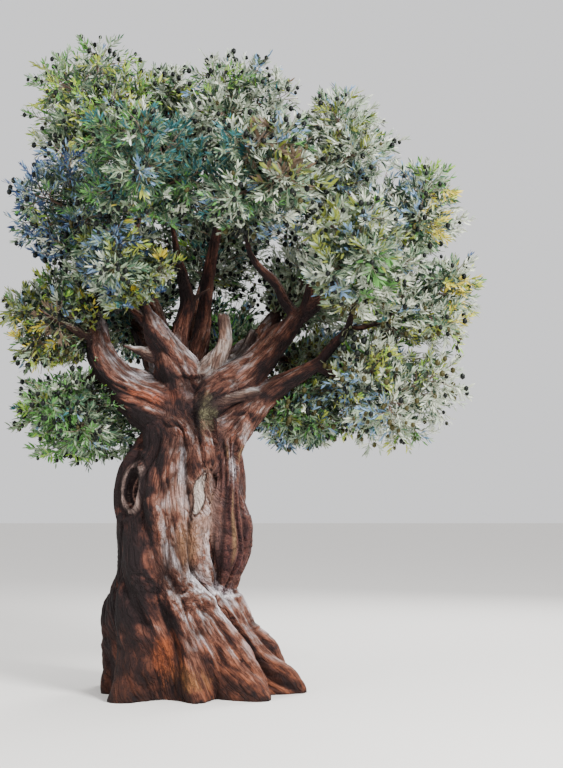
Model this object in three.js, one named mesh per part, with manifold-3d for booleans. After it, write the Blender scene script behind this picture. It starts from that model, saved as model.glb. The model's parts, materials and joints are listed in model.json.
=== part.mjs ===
// An old olive tree as separate solids: a trunk with its root flare, the boughs, and the masses of
// foliage. Millimetres, +Z up, +X to the right and -Y towards the viewer. The origin is on the flat
// cut at ground level, under the trunk.

import * as THREE from "three";
import { mergeVertices } from "three/addons/utils/BufferGeometryUtils.js";
import Module from "manifold-3d";

const wasm = await Module();
wasm.setup();

// Driving dimensions.
const clearance = 0.4; // the gap between two pieces that meet
const smoothing = 0.3; // how far a face may move where needless corners are taken out
const spaceMargin = 0.02; // how much nearer a spray keeps to its own mass's middle, in radii
const twigsPerMass = 8;
const fruitTwig = 2; // the twig that carries an olive
const leafShare = 0.68; // a spray's length, as a share of its mass's mean radius
const leafWidthShare = 0.4; // its width, as a share of its length
const leafThicknessShare = 0.05; // its thickness, as a share of its length
const leafShoulder = 0.45; // how far along a spray is widest
const leafRoot = 20; // how far the foot of a twig's last spray is sunk in its end
const leafSink = 7; // how far a side spray's foot is sunk past the middle of its twig
const twigRadius = 19; // at a twig's foot
const twigTipRadius = 17;
const stemTipRadius = 30;
const stemBend = 0.45; // how far a stem runs on in its bough's direction before it bends
const stemPast = 0.1; // how far past the middle of its mass it ends, in mean radii
const coreShare = 0.39; // a core's radius, as a share of its mass's
// Sprays on a twig: how far along it, the angle off it in radians, and the share of a full length.
const spraysOnTwig = [
  [1, 0, 0.72],
  [0.94, 1.05, 0.95],
  [0.84, 1.05, 1],
  [0.74, 1.05, 1],
  [0.64, 1.1, 1],
];
const sprayTries = 6; // turns about its twig that a spray may try before it is left out
const fruitRadius = 24;
const fruitStretch = 1.35; // length over width of an olive
const fruitAlong = 0.86; // how far along its twig the olive hangs
const stemFootShare = 0.9; // a stem's radius at its foot, as a share of its bough's at the tip
const stemTwigs = 0.62; // the share of a stem, from its end back, that carries twigs
const twigsAhead = [0.95, -0.65]; // how far the first and the last twig point the stem's way
const twigTurnRange = 0.8; // how far a twig may turn from its even place, in radians
const twigReach = [0.92, 1]; // how near a twig's target lies to the mass's outline
const lastSprayShare = 0.66; // how much of a spray's length a twig leaves free at its end
const shortestTwig = 0.25; // a twig's least length, as a share of the way to its target
const sprayShrink = 0.07; // how much shorter a spray gets with each turn that it tries
const sprayLengths = [0.92, 1.08]; // the range of a spray's length, as shares of its full one
const coreLumps = [0.85, 1.15]; // the range of a core's radius, as shares of its mean one
const goldenAngle = Math.PI * (3 - Math.sqrt(5));
const seedOfMass = 7919; // primes that keep the draws of masses and twigs apart
const seedOfTwig = 104729;

const barkColour = 0x7d5a48;
const deadWoodColour = 0xa08672;
const woodMaterial = (color) => new THREE.MeshStandardMaterial({ color, roughness: 0.92, metalness: 0 });
const leafMaterial = (color) => new THREE.MeshStandardMaterial({ color, roughness: 0.6, metalness: 0 });

// The trunk's outline: [height, left edge, right edge, front edge, back edge].
const trunkLevels = [
  [0, -668, 446, -440, 470],
  [200, -700, 455, -440, 465],
  [420, -735, 450, -435, 450],
  [640, -738, 366, -420, 430],
  [820, -698, 285, -400, 405],
  [1000, -640, 195, -385, 385],
  [1200, -598, 172, -370, 370],
  [1400, -574, 196, -360, 360],
  [1600, -566, 228, -355, 355],
  [1800, -520, 285, -345, 350],
  [1960, -445, 330, -310, 330],
  [2100, -370, 280, -240, 270],
  [2230, -280, 120, -150, 180],
  [2320, -180, 20, -60, 90],
];

// Root buttresses round the foot: bearing in degrees, reach past the trunk, height and half width.
const buttresses = [
  { bearing: -5, reach: 365, rise: 300, spread: 14 },
  { bearing: -42, reach: 330, rise: 300, spread: 11 },
  { bearing: -80, reach: 310, rise: 400, spread: 13 },
  { bearing: -124, reach: 270, rise: 300, spread: 12 },
  { bearing: -168, reach: 90, rise: 300, spread: 14 },
  { bearing: 142, reach: 270, rise: 320, spread: 12 },
  { bearing: 96, reach: 320, rise: 380, spread: 12 },
  { bearing: 46, reach: 320, rise: 320, spread: 13 },
];

const trunkGrid = { sides: 31, rows: 13, crowding: 1.15 }; // its rows lie closer near the ground

// Cords of wood that wind up the trunk: how many, how deep and how far they turn over a metre.
const cords = [
  { count: 7, depth: 0.05, turn: 0.9, start: 0.6 },
  { count: 4, depth: 0.035, turn: -0.6, start: 1.9 },
];

// The rough cord of dead wood down the trunk's right side: [height, x, y, radius].
const deadCord = [
  [680, 130, -40, 60],
  [820, 200, -80, 105],
  [980, 242, -110, 146],
  [1120, 262, -130, 176],
  [1280, 266, -140, 170],
  [1420, 262, -140, 150],
  [1600, 272, -130, 124],
  [1780, 276, -110, 112],
  [1930, 262, -80, 92],
  [2040, 250, -50, 60],
];
const deadCordGrid = { sides: 9, rows: 9 };

// The scar of a lost limb on the trunk's left: a thick lip round a bowl with a nub in it.
const scar = {
  middle: [-462, -212, 1605],
  facing: [-0.66, -0.75, 0.05],
  radius: 92,
  tall: 1.45, // its height over its width
  lip: 40,
  depth: 80,
};

// A long narrow split in the bark of the trunk's front, where bare wood shows.
const barkSplit = { middle: [40, -372, 1560], width: 70, height: 330, depth: 60, lean: 0.2 };

// The thicker a limb's foot, the more sides it has and the closer its rows of points.
const limbGrades = [
  { over: 120, sides: 9, row: 170 },
  { over: 60, sides: 7, row: 230 },
  { over: 40, sides: 6, row: 230 },
  { over: 0, sides: 5, row: 230 },
];

// Limbs run through their points, from the foot to the tip, and taper from the first radius to the
// second. A limb with a split belongs to the trunk up to that share of its length.
const limbs = [
  {
    name: "stem_left",
    points: [[-120, 0, 1700], [-128, 0, 1980], [-140, 5, 2220], [-110, 10, 2430]],
    radius: [335, 150],
    taper: 0.6,
    split: 1,
  },
  {
    name: "bough_left",
    points: [
      [-70, 10, 2040], [-320, -30, 2270], [-548, -60, 2428], [-696, -80, 2580], [-776, -60, 2740],
      [-792, -20, 2930],
    ],
    radius: [250, 72],
    taper: 1.15,
    split: 0.45,
  },
  {
    name: "bough_upper_left",
    points: [[-40, 20, 2230], [-110, -10, 2450], [-185, -50, 2640], [-290, -90, 2820], [-368, -120, 2995]],
    radius: [230, 40],
    taper: 0.8,
    split: 0.5,
  },
  {
    name: "bough_right",
    points: [
      [0, 0, 2240], [216, -30, 2400], [408, -50, 2520], [568, -60, 2672], [712, -50, 2856],
      [832, -40, 3008],
    ],
    radius: [230, 64],
    taper: 1.1,
    split: 0.35,
  },
  {
    name: "bough_low_right",
    points: [
      [110, -50, 1760], [280, -60, 2060], [464, -70, 2275], [640, -80, 2415], [870, -90, 2540],
      [1016, -90, 2630],
    ],
    radius: [200, 50],
    taper: 1.3,
    split: 0.38,
  },
  {
    name: "bough_rear_left",
    points: [[-160, 120, 2260], [-330, 420, 2600], [-480, 700, 2850], [-570, 860, 3010]],
    radius: [150, 60],
    split: 0.3,
  },
  {
    name: "bough_rear_right",
    points: [[20, 120, 2260], [230, 430, 2600], [450, 700, 2860], [620, 880, 3080]],
    radius: [150, 60],
    split: 0.3,
  },
  {
    name: "bough_rear_centre",
    points: [[-60, 120, 2380], [-30, 400, 2800], [10, 650, 3180], [40, 850, 3450]],
    radius: [110, 46],
  },
  {
    name: "bough_rear_low",
    points: [[200, 400, 2580], [190, 540, 2660], [180, 690, 2730]],
    radius: [62, 40],
  },
  {
    name: "bough_rear_low_right",
    points: [[330, 560, 2720], [560, 700, 2730], [740, 810, 2720]],
    radius: [60, 36],
  },
  {
    name: "bough_left_low",
    points: [[-690, -70, 2575], [-820, -60, 2500], [-930, -20, 2430], [-1010, 30, 2370]],
    radius: [60, 24],
  },
  {
    name: "twig_left_bare",
    points: [
      [-780, -60, 2760], [-880, -110, 2824], [-984, -160, 2890], [-1120, -210, 2950],
      [-1224, -240, 3030],
    ],
    radius: [44, 8],
    bare: true,
  },
  {
    name: "snag_left",
    points: [[-190, -50, 2630], [-380, -70, 2690], [-550, -80, 2745]],
    radius: [92, 14],
    bare: true,
  },
  {
    name: "bough_left_arm",
    points: [[-280, -85, 2800], [-400, -50, 2950], [-530, -20, 3080], [-670, 0, 3200], [-790, 10, 3340]],
    radius: [50, 26],
  },
  {
    name: "bough_back_left",
    points: [
      [-150, 60, 2690], [-125, 70, 2900], [-66, 50, 3096], [-96, 0, 3272], [-140, -110, 3456],
      [-170, -260, 3660],
    ],
    radius: [92, 20],
  },
  {
    name: "twig_back_left_bare",
    points: [[-66, 50, 3100], [24, 30, 3176], [112, 10, 3226]],
    radius: [28, 9],
    bare: true,
  },
  {
    name: "bough_high_left",
    points: [
      [-190, 100, 2560], [-300, 170, 2860], [-440, 210, 3200], [-584, 210, 3520], [-720, 170, 3840],
      [-800, 120, 4290],
    ],
    radius: [86, 28],
  },
  {
    name: "bough_high_middle",
    points: [[-570, 210, 3500], [-480, 300, 3850], [-380, 360, 4110]],
    radius: [36, 24],
  },
  {
    name: "bough_high_centre",
    points: [[-20, 110, 2480], [40, 260, 2950], [90, 320, 3420], [180, 270, 3900], [240, 170, 4300]],
    radius: [84, 28],
  },
  {
    name: "stub_centre",
    points: [[90, -40, 2470], [176, -60, 2624], [236, -70, 2790], [226, -70, 2976]],
    radius: [125, 46],
    taper: 2,
    bare: true,
  },
  {
    name: "stub_right",
    points: [[264, 20, 2560], [380, 50, 2700], [456, 70, 2862]],
    radius: [105, 48],
    taper: 1.6,
    bare: true,
  },
  {
    name: "bough_right_inner",
    points: [
      [815, -40, 2985], [712, -60, 3128], [650, -90, 3245], [496, -160, 3392], [432, -260, 3500],
      [410, -400, 3640],
    ],
    radius: [58, 18],
  },
  {
    name: "bough_right_middle",
    points: [[845, -30, 2990], [915, -20, 3150], [944, -10, 3330], [1000, 0, 3600], [1050, 0, 3880]],
    radius: [52, 22],
  },
  {
    name: "bough_right_outer",
    points: [[850, -40, 2980], [1016, -50, 3120], [1190, -60, 3215], [1360, -60, 3370], [1460, -60, 3560]],
    radius: [50, 24],
  },
  {
    name: "bough_low_right_upper",
    points: [[990, -90, 2615], [1112, -140, 2760], [1210, -210, 2872], [1260, -340, 3030]],
    radius: [44, 22],
  },
  {
    name: "bough_low_right_outer",
    points: [[1205, -205, 2866], [1330, -150, 2890], [1420, -90, 2920]],
    radius: [30, 20],
  },
  {
    name: "bough_low_right_lower",
    points: [[980, -90, 2600], [1080, -70, 2530], [1190, -40, 2480]],
    radius: [42, 26],
  },
  {
    name: "bough_low_inner",
    points: [[620, -60, 2390], [690, 100, 2390], [760, 220, 2370]],
    radius: [62, 34],
  },
  {
    name: "spur_dead",
    points: [[570, -80, 2350], [450, -150, 2368], [320, -190, 2325], [130, -205, 2285]],
    radius: [58, 14],
    bare: true,
  },
];

// Masses of foliage: the bough that carries each, its middle, its radii and its leaves' colour.
const masses = [
  {
    name: "foliage_top_left",
    bough: "bough_high_left",
    middle: [-856, 100, 4784],
    radii: [704, 600, 576],
    colour: 0x6f8a48,
  },
  {
    name: "foliage_top_middle",
    bough: "bough_high_middle",
    middle: [-280, 400, 4760],
    radii: [496, 520, 480],
    colour: 0x86966c,
  },
  {
    name: "foliage_top_centre",
    bough: "bough_high_centre",
    middle: [312, 100, 4704],
    radii: [640, 600, 544],
    colour: 0xa3ad9c,
  },
  {
    name: "foliage_upper_right",
    bough: "bough_right_middle",
    middle: [1120, 0, 4336],
    radii: [680, 640, 600],
    colour: 0xa4ae96,
  },
  {
    name: "foliage_right",
    bough: "bough_right_outer",
    middle: [1680, -50, 3824],
    radii: [608, 620, 576],
    colour: 0x9daa90,
  },
  {
    name: "foliage_far_right",
    bough: "bough_low_right_outer",
    middle: [1848, 50, 3104],
    radii: [608, 620, 528],
    colour: 0xb2ae74,
  },
  {
    name: "foliage_low_right",
    bough: "bough_low_right_lower",
    middle: [1608, 0, 2400],
    radii: [640, 640, 608],
    colour: 0xa7ab78,
  },
  {
    name: "foliage_low_inner",
    bough: "bough_low_inner",
    middle: [880, 350, 2224],
    radii: [512, 520, 416],
    colour: 0x8c9468,
  },
  {
    name: "foliage_left_upper",
    bough: "bough_left_arm",
    middle: [-984, -100, 3920],
    radii: [608, 620, 576],
    colour: 0x55708a,
  },
  {
    name: "foliage_left_middle",
    bough: "bough_left",
    middle: [-1192, 40, 2992],
    radii: [464, 540, 512],
    colour: 0x8a8f4e,
  },
  {
    name: "foliage_low_left",
    bough: "bough_left_low",
    middle: [-920, 150, 2176],
    radii: [640, 600, 496],
    colour: 0x527a3c,
  },
  {
    name: "foliage_front_upper_left",
    bough: "bough_back_left",
    middle: [-360, -800, 4096],
    radii: [608, 560, 528],
    colour: 0x4f7d76,
  },
  {
    name: "foliage_front_upper_right",
    bough: "bough_right_inner",
    middle: [536, -850, 4000],
    radii: [608, 560, 528],
    colour: 0x7d9288,
  },
  {
    name: "foliage_front_right",
    bough: "bough_low_right_upper",
    middle: [1256, -700, 3424],
    radii: [560, 540, 496],
    colour: 0x93a085,
  },
  {
    name: "foliage_front_left",
    bough: "bough_upper_left",
    middle: [-568, -520, 3376],
    radii: [480, 480, 400],
    colour: 0xa89f48,
  },
  {
    name: "foliage_rear_left",
    bough: "bough_rear_left",
    middle: [-800, 1100, 3344],
    radii: [688, 640, 624],
    colour: 0x5f7d62,
  },
  {
    name: "foliage_rear_centre",
    bough: "bough_rear_centre",
    middle: [56, 1250, 3880],
    radii: [736, 660, 672],
    colour: 0x7a8f74,
  },
  {
    name: "foliage_rear_right",
    bough: "bough_rear_right",
    middle: [1120, 1150, 3504],
    radii: [720, 660, 656],
    colour: 0x8a9a7c,
  },
  {
    name: "foliage_rear_low",
    bough: "bough_rear_low",
    middle: [136, 1050, 2896],
    radii: [576, 520, 464],
    colour: 0x4e7a58,
  },
  {
    name: "foliage_rear_low_right",
    bough: "bough_rear_low_right",
    middle: [1176, 950, 2624],
    radii: [576, 540, 448],
    colour: 0x748864,
  },
];

// The same draws in the same order each time.
function seededRandom(seed) {
  const modulus = 2 ** 31 - 1;
  let state = seed;
  return () => {
    state = (state * 16807) % modulus;
    return state / modulus;
  };
}

const vector = (point) => new THREE.Vector3(...point);
const between = ([low, high], share) => low + (high - low) * share;
const degrees = (angle) => (angle * 180) / Math.PI;

function solidOf(geometry) {
  const bare = geometry.clone();
  bare.deleteAttribute("normal");
  bare.deleteAttribute("uv");
  const merged = mergeVertices(bare, 1e-3);
  return new wasm.Manifold(
    new wasm.Mesh({
      numProp: 3,
      vertProperties: new Float32Array(merged.attributes.position.array),
      triVerts: new Uint32Array(merged.index.array),
    }),
  );
}

function geometryOf(solid) {
  const { numProp, vertProperties, triVerts } = solid.getMesh();
  const positions = new Float32Array((vertProperties.length / numProp) * 3);
  for (let i = 0; i < positions.length / 3; i++) {
    positions.set(vertProperties.subarray(i * numProp, i * numProp + 3), i * 3);
  }
  const geometry = new THREE.BufferGeometry();
  geometry.setAttribute("position", new THREE.BufferAttribute(positions, 3));
  geometry.setIndex(new THREE.BufferAttribute(new Uint32Array(triVerts), 1));
  geometry.computeVertexNormals();
  return geometry;
}

// The largest piece of a solid, without loose scraps and sealed hollows.
function mainPiece(solid) {
  const pieces = solid.decompose();
  return pieces.reduce((best, piece) => (piece.volume() > best.volume() ? piece : best));
}

// A cylinder whose points are moved to place(along, angle, share): along runs from 0 to 1, and share
// is 1 on the side and 0 in the middle of each end.
function bentCylinder(sides, rows, place) {
  const geometry = new THREE.CylinderGeometry(1, 1, 1, sides, rows);
  const position = geometry.attributes.position;
  for (let i = 0; i < position.count; i++) {
    const x = position.getX(i);
    const z = position.getZ(i);
    const point = place(position.getY(i) + 0.5, Math.atan2(-z, x), Math.hypot(x, z));
    position.setXYZ(i, point.x, point.y, point.z);
  }
  return solidOf(geometry);
}

// A row of a table at a value of its first column, by a cubic through the rows.
function rowAt(table, value) {
  const last = table.length - 2;
  let k = table.findIndex((row) => row[0] > value) - 1;
  if (k < 0) k = value <= table[0][0] ? 0 : last;
  const t = THREE.MathUtils.clamp((value - table[k][0]) / (table[k + 1][0] - table[k][0]), 0, 1);
  const slope = (i, column) => {
    const before = table[Math.max(i - 1, 0)];
    const after = table[Math.min(i + 1, table.length - 1)];
    return (after[column] - before[column]) / (after[0] - before[0]);
  };
  const span = table[k + 1][0] - table[k][0];
  return table[k].map((_, column) => {
    const a = table[k][column];
    const b = table[k + 1][column];
    const ma = slope(k, column) * span;
    const mb = slope(k + 1, column) * span;
    return (
      (2 * t ** 3 - 3 * t ** 2 + 1) * a +
      (t ** 3 - 2 * t ** 2 + t) * ma +
      (-2 * t ** 3 + 3 * t ** 2) * b +
      (t ** 3 - t ** 2) * mb
    );
  });
}

// The trunk's surface at a height and a bearing, grown outwards by a margin.
function trunkPoint(height, angle, share, grow) {
  const [, left, right, front, back] = rowAt(trunkLevels, height);
  let swell = 1;
  for (const { count, depth, turn, start } of cords) {
    swell += depth * Math.cos(count * angle + (turn * height) / 1000 + start);
  }
  let reach = 0;
  for (const { bearing, reach: far, rise, spread } of buttresses) {
    const off = THREE.MathUtils.euclideanModulo(degrees(angle) - bearing + 180, 360) - 180;
    reach += far * Math.exp(-((off / spread) ** 2)) * Math.exp(-((height / rise) ** 1.3));
  }
  const x = ((right - left) / 2) * swell + reach + grow;
  const y = ((back - front) / 2) * swell + reach + grow;
  return new THREE.Vector3(
    (left + right) / 2 + share * x * Math.cos(angle),
    (front + back) / 2 + share * y * Math.sin(angle),
    height,
  );
}

function trunkColumn(grow) {
  const top = trunkLevels.at(-1)[0];
  return bentCylinder(trunkGrid.sides, trunkGrid.rows, (along, angle, share) => {
    const height = top * along ** trunkGrid.crowding;
    const point = trunkPoint(height, angle, share, grow);
    if (along === 1) point.z += grow;
    return point;
  });
}

function curveOf(limb) {
  const curve = new THREE.CatmullRomCurve3(limb.points.map(vector), false, "catmullrom", 0.5);
  curve.arcLengthDivisions = 200;
  return curve;
}

const limbRadius = ({ radius: [foot, tip], taper = 1 }, along) => tip + (foot - tip) * (1 - along) ** taper;

// A limb from one share of its length to another, a little knotty, grown outwards by a margin.
function limbSolid(limb, from = 0, to = 1, grow = 0) {
  const curve = curveOf(limb);
  const length = curve.getLength();
  const foot = limb.radius[0];
  const { sides, row } = limbGrades.find((grade) => foot > grade.over);
  const rows = Math.max(2, Math.ceil(((to - from) * length) / row));
  const steps = 60;
  const frames = curve.computeFrenetFrames(steps);
  return bentCylinder(sides, rows, (along, angle, share) => {
    const at = from + (to - from) * along;
    const k = Math.round(at * steps);
    const knots = 1 + 0.07 * Math.sin(3 * angle + 7 * at + foot) + 0.05 * Math.sin(2 * angle - 13 * at);
    const radius = share * (limbRadius(limb, at) * knots + grow);
    const pastEnd = { 0: -grow, 1: grow }[along] ?? 0;
    return curve
      .getPointAt(at)
      .addScaledVector(frames.normals[k], radius * Math.cos(angle))
      .addScaledVector(frames.binormals[k], radius * Math.sin(angle))
      .addScaledVector(frames.tangents[k], pastEnd);
  });
}

function deadCordSolid(grow) {
  const [foot, top] = [deadCord[0][0], deadCord.at(-1)[0]];
  return bentCylinder(deadCordGrid.sides, deadCordGrid.rows, (along, angle, share) => {
    const height = foot + (top - foot) * along;
    const [, x, y, radius] = rowAt(deadCord, height);
    const ragged = 1 + 0.1 * Math.sin(3 * angle + height / 90) + 0.07 * Math.sin(2 * angle - height / 140);
    const wide = share * (radius * ragged + grow);
    return new THREE.Vector3(x + wide * Math.cos(angle), y + wide * Math.sin(angle), height);
  });
}

function scarPart(profile) {
  const lathe = new THREE.LatheGeometry(profile.map(([r, y]) => new THREE.Vector2(r, y)), 12);
  lathe.scale(1, 1, scar.tall);
  const facing = vector(scar.facing).normalize();
  const up = new THREE.Vector3(0, 0, 1).addScaledVector(facing, -facing.z).normalize();
  const side = new THREE.Vector3().crossVectors(facing, up);
  lathe.applyMatrix4(new THREE.Matrix4().makeBasis(side, facing, up).setPosition(...scar.middle));
  return solidOf(lathe);
}

function scarLip() {
  const { radius, lip, depth } = scar;
  return scarPart([
    [0, -depth * 1.6],
    [radius + lip * 0.6, -depth * 1.6],
    [radius + lip, lip * 0.2],
    [radius + lip * 0.3, lip],
    [radius - lip * 0.3, lip * 0.8],
    [0, lip * 0.8],
  ]);
}

function scarBowl() {
  const { radius, lip, depth } = scar;
  return scarPart([
    [0, -depth * 0.35],
    [radius * 0.3, -depth * 0.4],
    [radius * 0.45, -depth],
    [radius * 0.7, -depth],
    [radius - lip * 0.4, lip * 0.8],
    [radius - lip * 0.2, lip * 2],
    [0, lip * 2],
  ]);
}

function barkSplitSolid() {
  const { middle, width, height, depth, lean } = barkSplit;
  const blade = new THREE.SphereGeometry(0.5, 7, 6);
  blade.scale(width, depth * 2, height);
  blade.rotateY(lean);
  blade.translate(...middle);
  return solidOf(blade);
}

const belowGround = () => {
  const block = new THREE.BoxGeometry(6000, 6000, 1000);
  block.translate(0, 0, -500);
  return solidOf(block);
};

function trunkSolid(grow = 0) {
  const parts = [trunkColumn(grow), deadCordSolid(grow)];
  for (const limb of limbs) {
    if (limb.split) parts.push(limbSolid(limb, 0, limb.split, grow));
  }
  const whole = wasm.Manifold.union(parts);
  if (grow) return whole;
  const carved = whole.add(scarLip()).subtract(scarBowl()).subtract(barkSplitSolid()).subtract(belowGround());
  return mainPiece(carved).asOriginal().simplify(smoothing);
}

const meanRadius = ({ radii }) => (radii[0] + radii[1] + radii[2]) / 3;

// A point's distance from a mass's middle, where 1 is on its outline.
const depthIn = (mass, point) =>
  Math.hypot(...[0, 1, 2].map((i) => (point.getComponent(i) - mass.middle[i]) / mass.radii[i]));

// A mass keeps what lies inside its own outline and nearer to it than to any other.
function keepsTo(mass, point, margin) {
  const own = depthIn(mass, point);
  return own <= 1 && masses.every((other) => other === mass || own < depthIn(other, point) - margin);
}

// Two directions square to a third and to each other.
function squareTo(direction) {
  const side = new THREE.Vector3(0, 0, 1).cross(direction);
  if (side.lengthSq() < 1e-4) side.set(1, 0, 0);
  side.normalize();
  return { side, up: new THREE.Vector3().crossVectors(direction, side) };
}

// A spray of leaves as one pointed blade of four faces, with a ridge from its foot to its tip.
function leafSolid(foot, direction, across, length) {
  const up = new THREE.Vector3().crossVectors(direction, across).normalize();
  const wide = new THREE.Vector3().crossVectors(up, direction);
  const halfWidth = (length * leafWidthShare) / 2;
  const leaf = new THREE.TetrahedronGeometry(Math.sqrt(3), 0);
  leaf.rotateZ(-Math.PI / 4);
  leaf.scale(length / Math.SQRT2 / 2, halfWidth / Math.SQRT2, (length * leafThicknessShare) / 2);
  const position = leaf.attributes.position;
  for (let i = 0; i < position.count; i++) {
    if (position.getZ(i) < 0) position.setX(i, length * (leafShoulder - 0.5));
  }
  leaf.translate(0, 0, (-length * leafThicknessShare) / 2);
  const middle = foot.clone().addScaledVector(direction, length / 2);
  leaf.applyMatrix4(new THREE.Matrix4().makeBasis(direction, wide, up).setPosition(middle));
  const widest = foot.clone().addScaledVector(direction, length * leafShoulder);
  const corners = [
    foot.clone().addScaledVector(direction, length),
    widest.clone().addScaledVector(wide, halfWidth),
    widest.clone().addScaledVector(wide, -halfWidth),
  ];
  return { solid: solidOf(leaf), corners };
}

// A twig or a stem along a curve, and the frames that its sprays are set in.
function twigSolid(curve, footRadius, tipRadius, sides, rows) {
  const frames = curve.computeFrenetFrames(rows);
  const solid = bentCylinder(sides, rows, (along, angle, share) => {
    const k = Math.round(along * rows);
    const radius = share * (footRadius + (tipRadius - footRadius) * along);
    return curve
      .getPointAt(along)
      .addScaledVector(frames.normals[k], radius * Math.cos(angle))
      .addScaledVector(frames.binormals[k], radius * Math.sin(angle));
  });
  return { solid, frames };
}

function fruitSolid(middle) {
  const fruit = new THREE.IcosahedronGeometry(fruitRadius, 0);
  fruit.scale(1, 1, fruitStretch);
  fruit.translate(middle.x, middle.y, middle.z);
  return solidOf(fruit);
}

// The leaves too deep in a mass to tell apart, as one uneven lump.
function coreSolid(mass, massIndex) {
  const random = seededRandom(seedOfMass * (massIndex + 1));
  const core = new THREE.IcosahedronGeometry(1, 0);
  core.deleteAttribute("normal");
  core.deleteAttribute("uv");
  const merged = mergeVertices(core, 1e-3);
  const position = merged.attributes.position;
  for (let i = 0; i < position.count; i++) {
    const lump = coreShare * between(coreLumps, random());
    const point = new THREE.Vector3().fromBufferAttribute(position, i);
    point.multiply(vector(mass.radii)).multiplyScalar(lump).add(vector(mass.middle));
    position.setXYZ(i, point.x, point.y, point.z);
  }
  return solidOf(merged);
}

// The stem that carries a mass on from its bough's tip to a little past the mass's middle.
function stemOf(mass) {
  const bough = limbs.find((limb) => limb.name === mass.bough);
  const boughCurve = curveOf(bough);
  const heading = boughCurve.getTangentAt(1);
  const start = boughCurve.getPointAt(1).addScaledVector(heading, clearance);
  const toMiddle = vector(mass.middle).sub(start);
  const bend = start.clone().addScaledVector(heading, toMiddle.length() * stemBend);
  const way = toMiddle.normalize();
  const end = vector(mass.middle).addScaledVector(way, meanRadius(mass) * stemPast);
  return { curve: new THREE.QuadraticBezierCurve3(start, bend, end), radius: bough.radius[1], way };
}

// The twigs of a mass fan out evenly from its stem to its outline, the first straight on and the
// last a little backwards, each a little uneven.
function twigCurve(mass, stem, index, random) {
  const step = index / (twigsPerMass - 1);
  const ahead = between(twigsAhead, step);
  const turn = goldenAngle * index + twigTurnRange * random();
  const ring = Math.sqrt(1 - ahead * ahead);
  const { side, up } = squareTo(stem.way);
  const way = stem.way.clone().multiplyScalar(ahead);
  way.addScaledVector(side, ring * Math.cos(turn)).addScaledVector(up, ring * Math.sin(turn));
  const reach = between(twigReach, random());
  const target = vector(mass.middle).add(way.multiply(vector(mass.radii)).multiplyScalar(reach));
  const start = stem.curve.getPointAt(1 - stemTwigs * step);
  const run = target.sub(start);
  const lastSpray = lastSprayShare * leafShare * meanRadius(mass);
  const end = start.clone().addScaledVector(run, Math.max(shortestTwig, 1 - lastSpray / run.length()));
  return new THREE.LineCurve3(start, end);
}

// A spray on a twig: a side one comes out of the middle of one of the twig's three faces.
function sprayOn({ curve, frames, random }, [along, spread, size], turn, fullLength) {
  const [normal, binormal] = [frames.normals[0], frames.binormals[0]];
  const round = Math.PI / 2 + (turn * 2 * Math.PI) / 3;
  const [cos, sin] = [Math.cos(round), Math.sin(round)];
  const outward = normal.clone().multiplyScalar(cos).addScaledVector(binormal, sin);
  const across = normal.clone().multiplyScalar(-sin).addScaledVector(binormal, cos);
  const angle = spread * (0.8 + 0.4 * random());
  const direction = curve.getTangentAt(0).multiplyScalar(Math.cos(angle));
  const swing = 0.4 * spread * (random() - 0.5);
  direction.addScaledVector(outward, Math.sin(angle)).addScaledVector(across, swing).normalize();
  const foot = curve.getPointAt(along).addScaledVector(direction, along === 1 ? -leafRoot : -leafSink);
  return leafSolid(foot, direction, across, fullLength * size * between(sprayLengths, random()));
}

// One mass: a stem, its twigs, and sprays of leaves along each twig and at its end. What would leave
// the mass's space or touch wood, another mass or another spray is skipped.
function massSolid(mass, massIndex, blocked) {
  const inside = (points) => points.every((point) => keepsTo(mass, point, spaceMargin));
  const clearOf = (solid, others) => others.every((other) => solid.intersect(other).isEmpty());
  const stem = stemOf(mass);
  const twigs = [];
  for (let i = 0; i < twigsPerMass; i++) {
    const random = seededRandom(seedOfMass * (massIndex + 1) + seedOfTwig * (i + 1));
    const curve = twigCurve(mass, stem, i, random);
    const { solid, frames } = twigSolid(curve, twigRadius, twigTipRadius, 3, 1);
    const fits = inside([curve.getPointAt(0.5), curve.getPointAt(1)]);
    if (fits && clearOf(solid, blocked)) twigs.push({ curve, solid, frames, random });
  }

  const sprays = [];
  for (const twig of twigs) {
    const otherTwigs = twigs.filter((other) => other !== twig).map(({ solid }) => solid);
    spraysOnTwig.forEach((row, k) => {
      for (let turn = 0; turn < sprayTries; turn++) {
        const fullLength = leafShare * meanRadius(mass) * (1 - sprayShrink * turn);
        const { solid, corners } = sprayOn(twig, row, k + turn, fullLength);
        if (inside(corners) && clearOf(solid, [...blocked, ...sprays, ...otherTwigs])) {
          sprays.push(solid);
          break;
        }
      }
    });
  }

  const stemSolid = twigSolid(stem.curve, stem.radius * stemFootShare, stemTipRadius, 5, 2).solid;
  const parts = [stemSolid, coreSolid(mass, massIndex)];
  if (twigs[fruitTwig]) {
    const below = new THREE.Vector3(0, 0, -fruitRadius * 1.1);
    const fruit = fruitSolid(twigs[fruitTwig].curve.getPointAt(fruitAlong).add(below));
    if (clearOf(fruit, blocked)) parts.push(fruit);
  }
  const whole = wasm.Manifold.union([...parts, ...twigs.map(({ solid }) => solid), ...sprays]);
  return mainPiece(whole).asOriginal().simplify(smoothing);
}

const tree = new THREE.Group();

function add(name, solid, material) {
  const mesh = new THREE.Mesh(geometryOf(solid), material);
  mesh.name = name;
  tree.add(mesh);
}

add("trunk", trunkSolid(), woodMaterial(barkColour));

// A limb is cut back to the clearance from the trunk and from the limbs before it.
const woodGrown = [trunkSolid(clearance)];
for (const limb of limbs) {
  if (limb.split === 1) continue;
  const from = limb.split ?? 0;
  const cut = woodGrown.reduce((rest, other) => rest.subtract(other), limbSolid(limb, from));
  const solid = mainPiece(cut).asOriginal().simplify(smoothing);
  add(limb.name, solid, woodMaterial(limb.bare ? deadWoodColour : barkColour));
  woodGrown.push(limbSolid(limb, from, 1, clearance));
}

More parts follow.
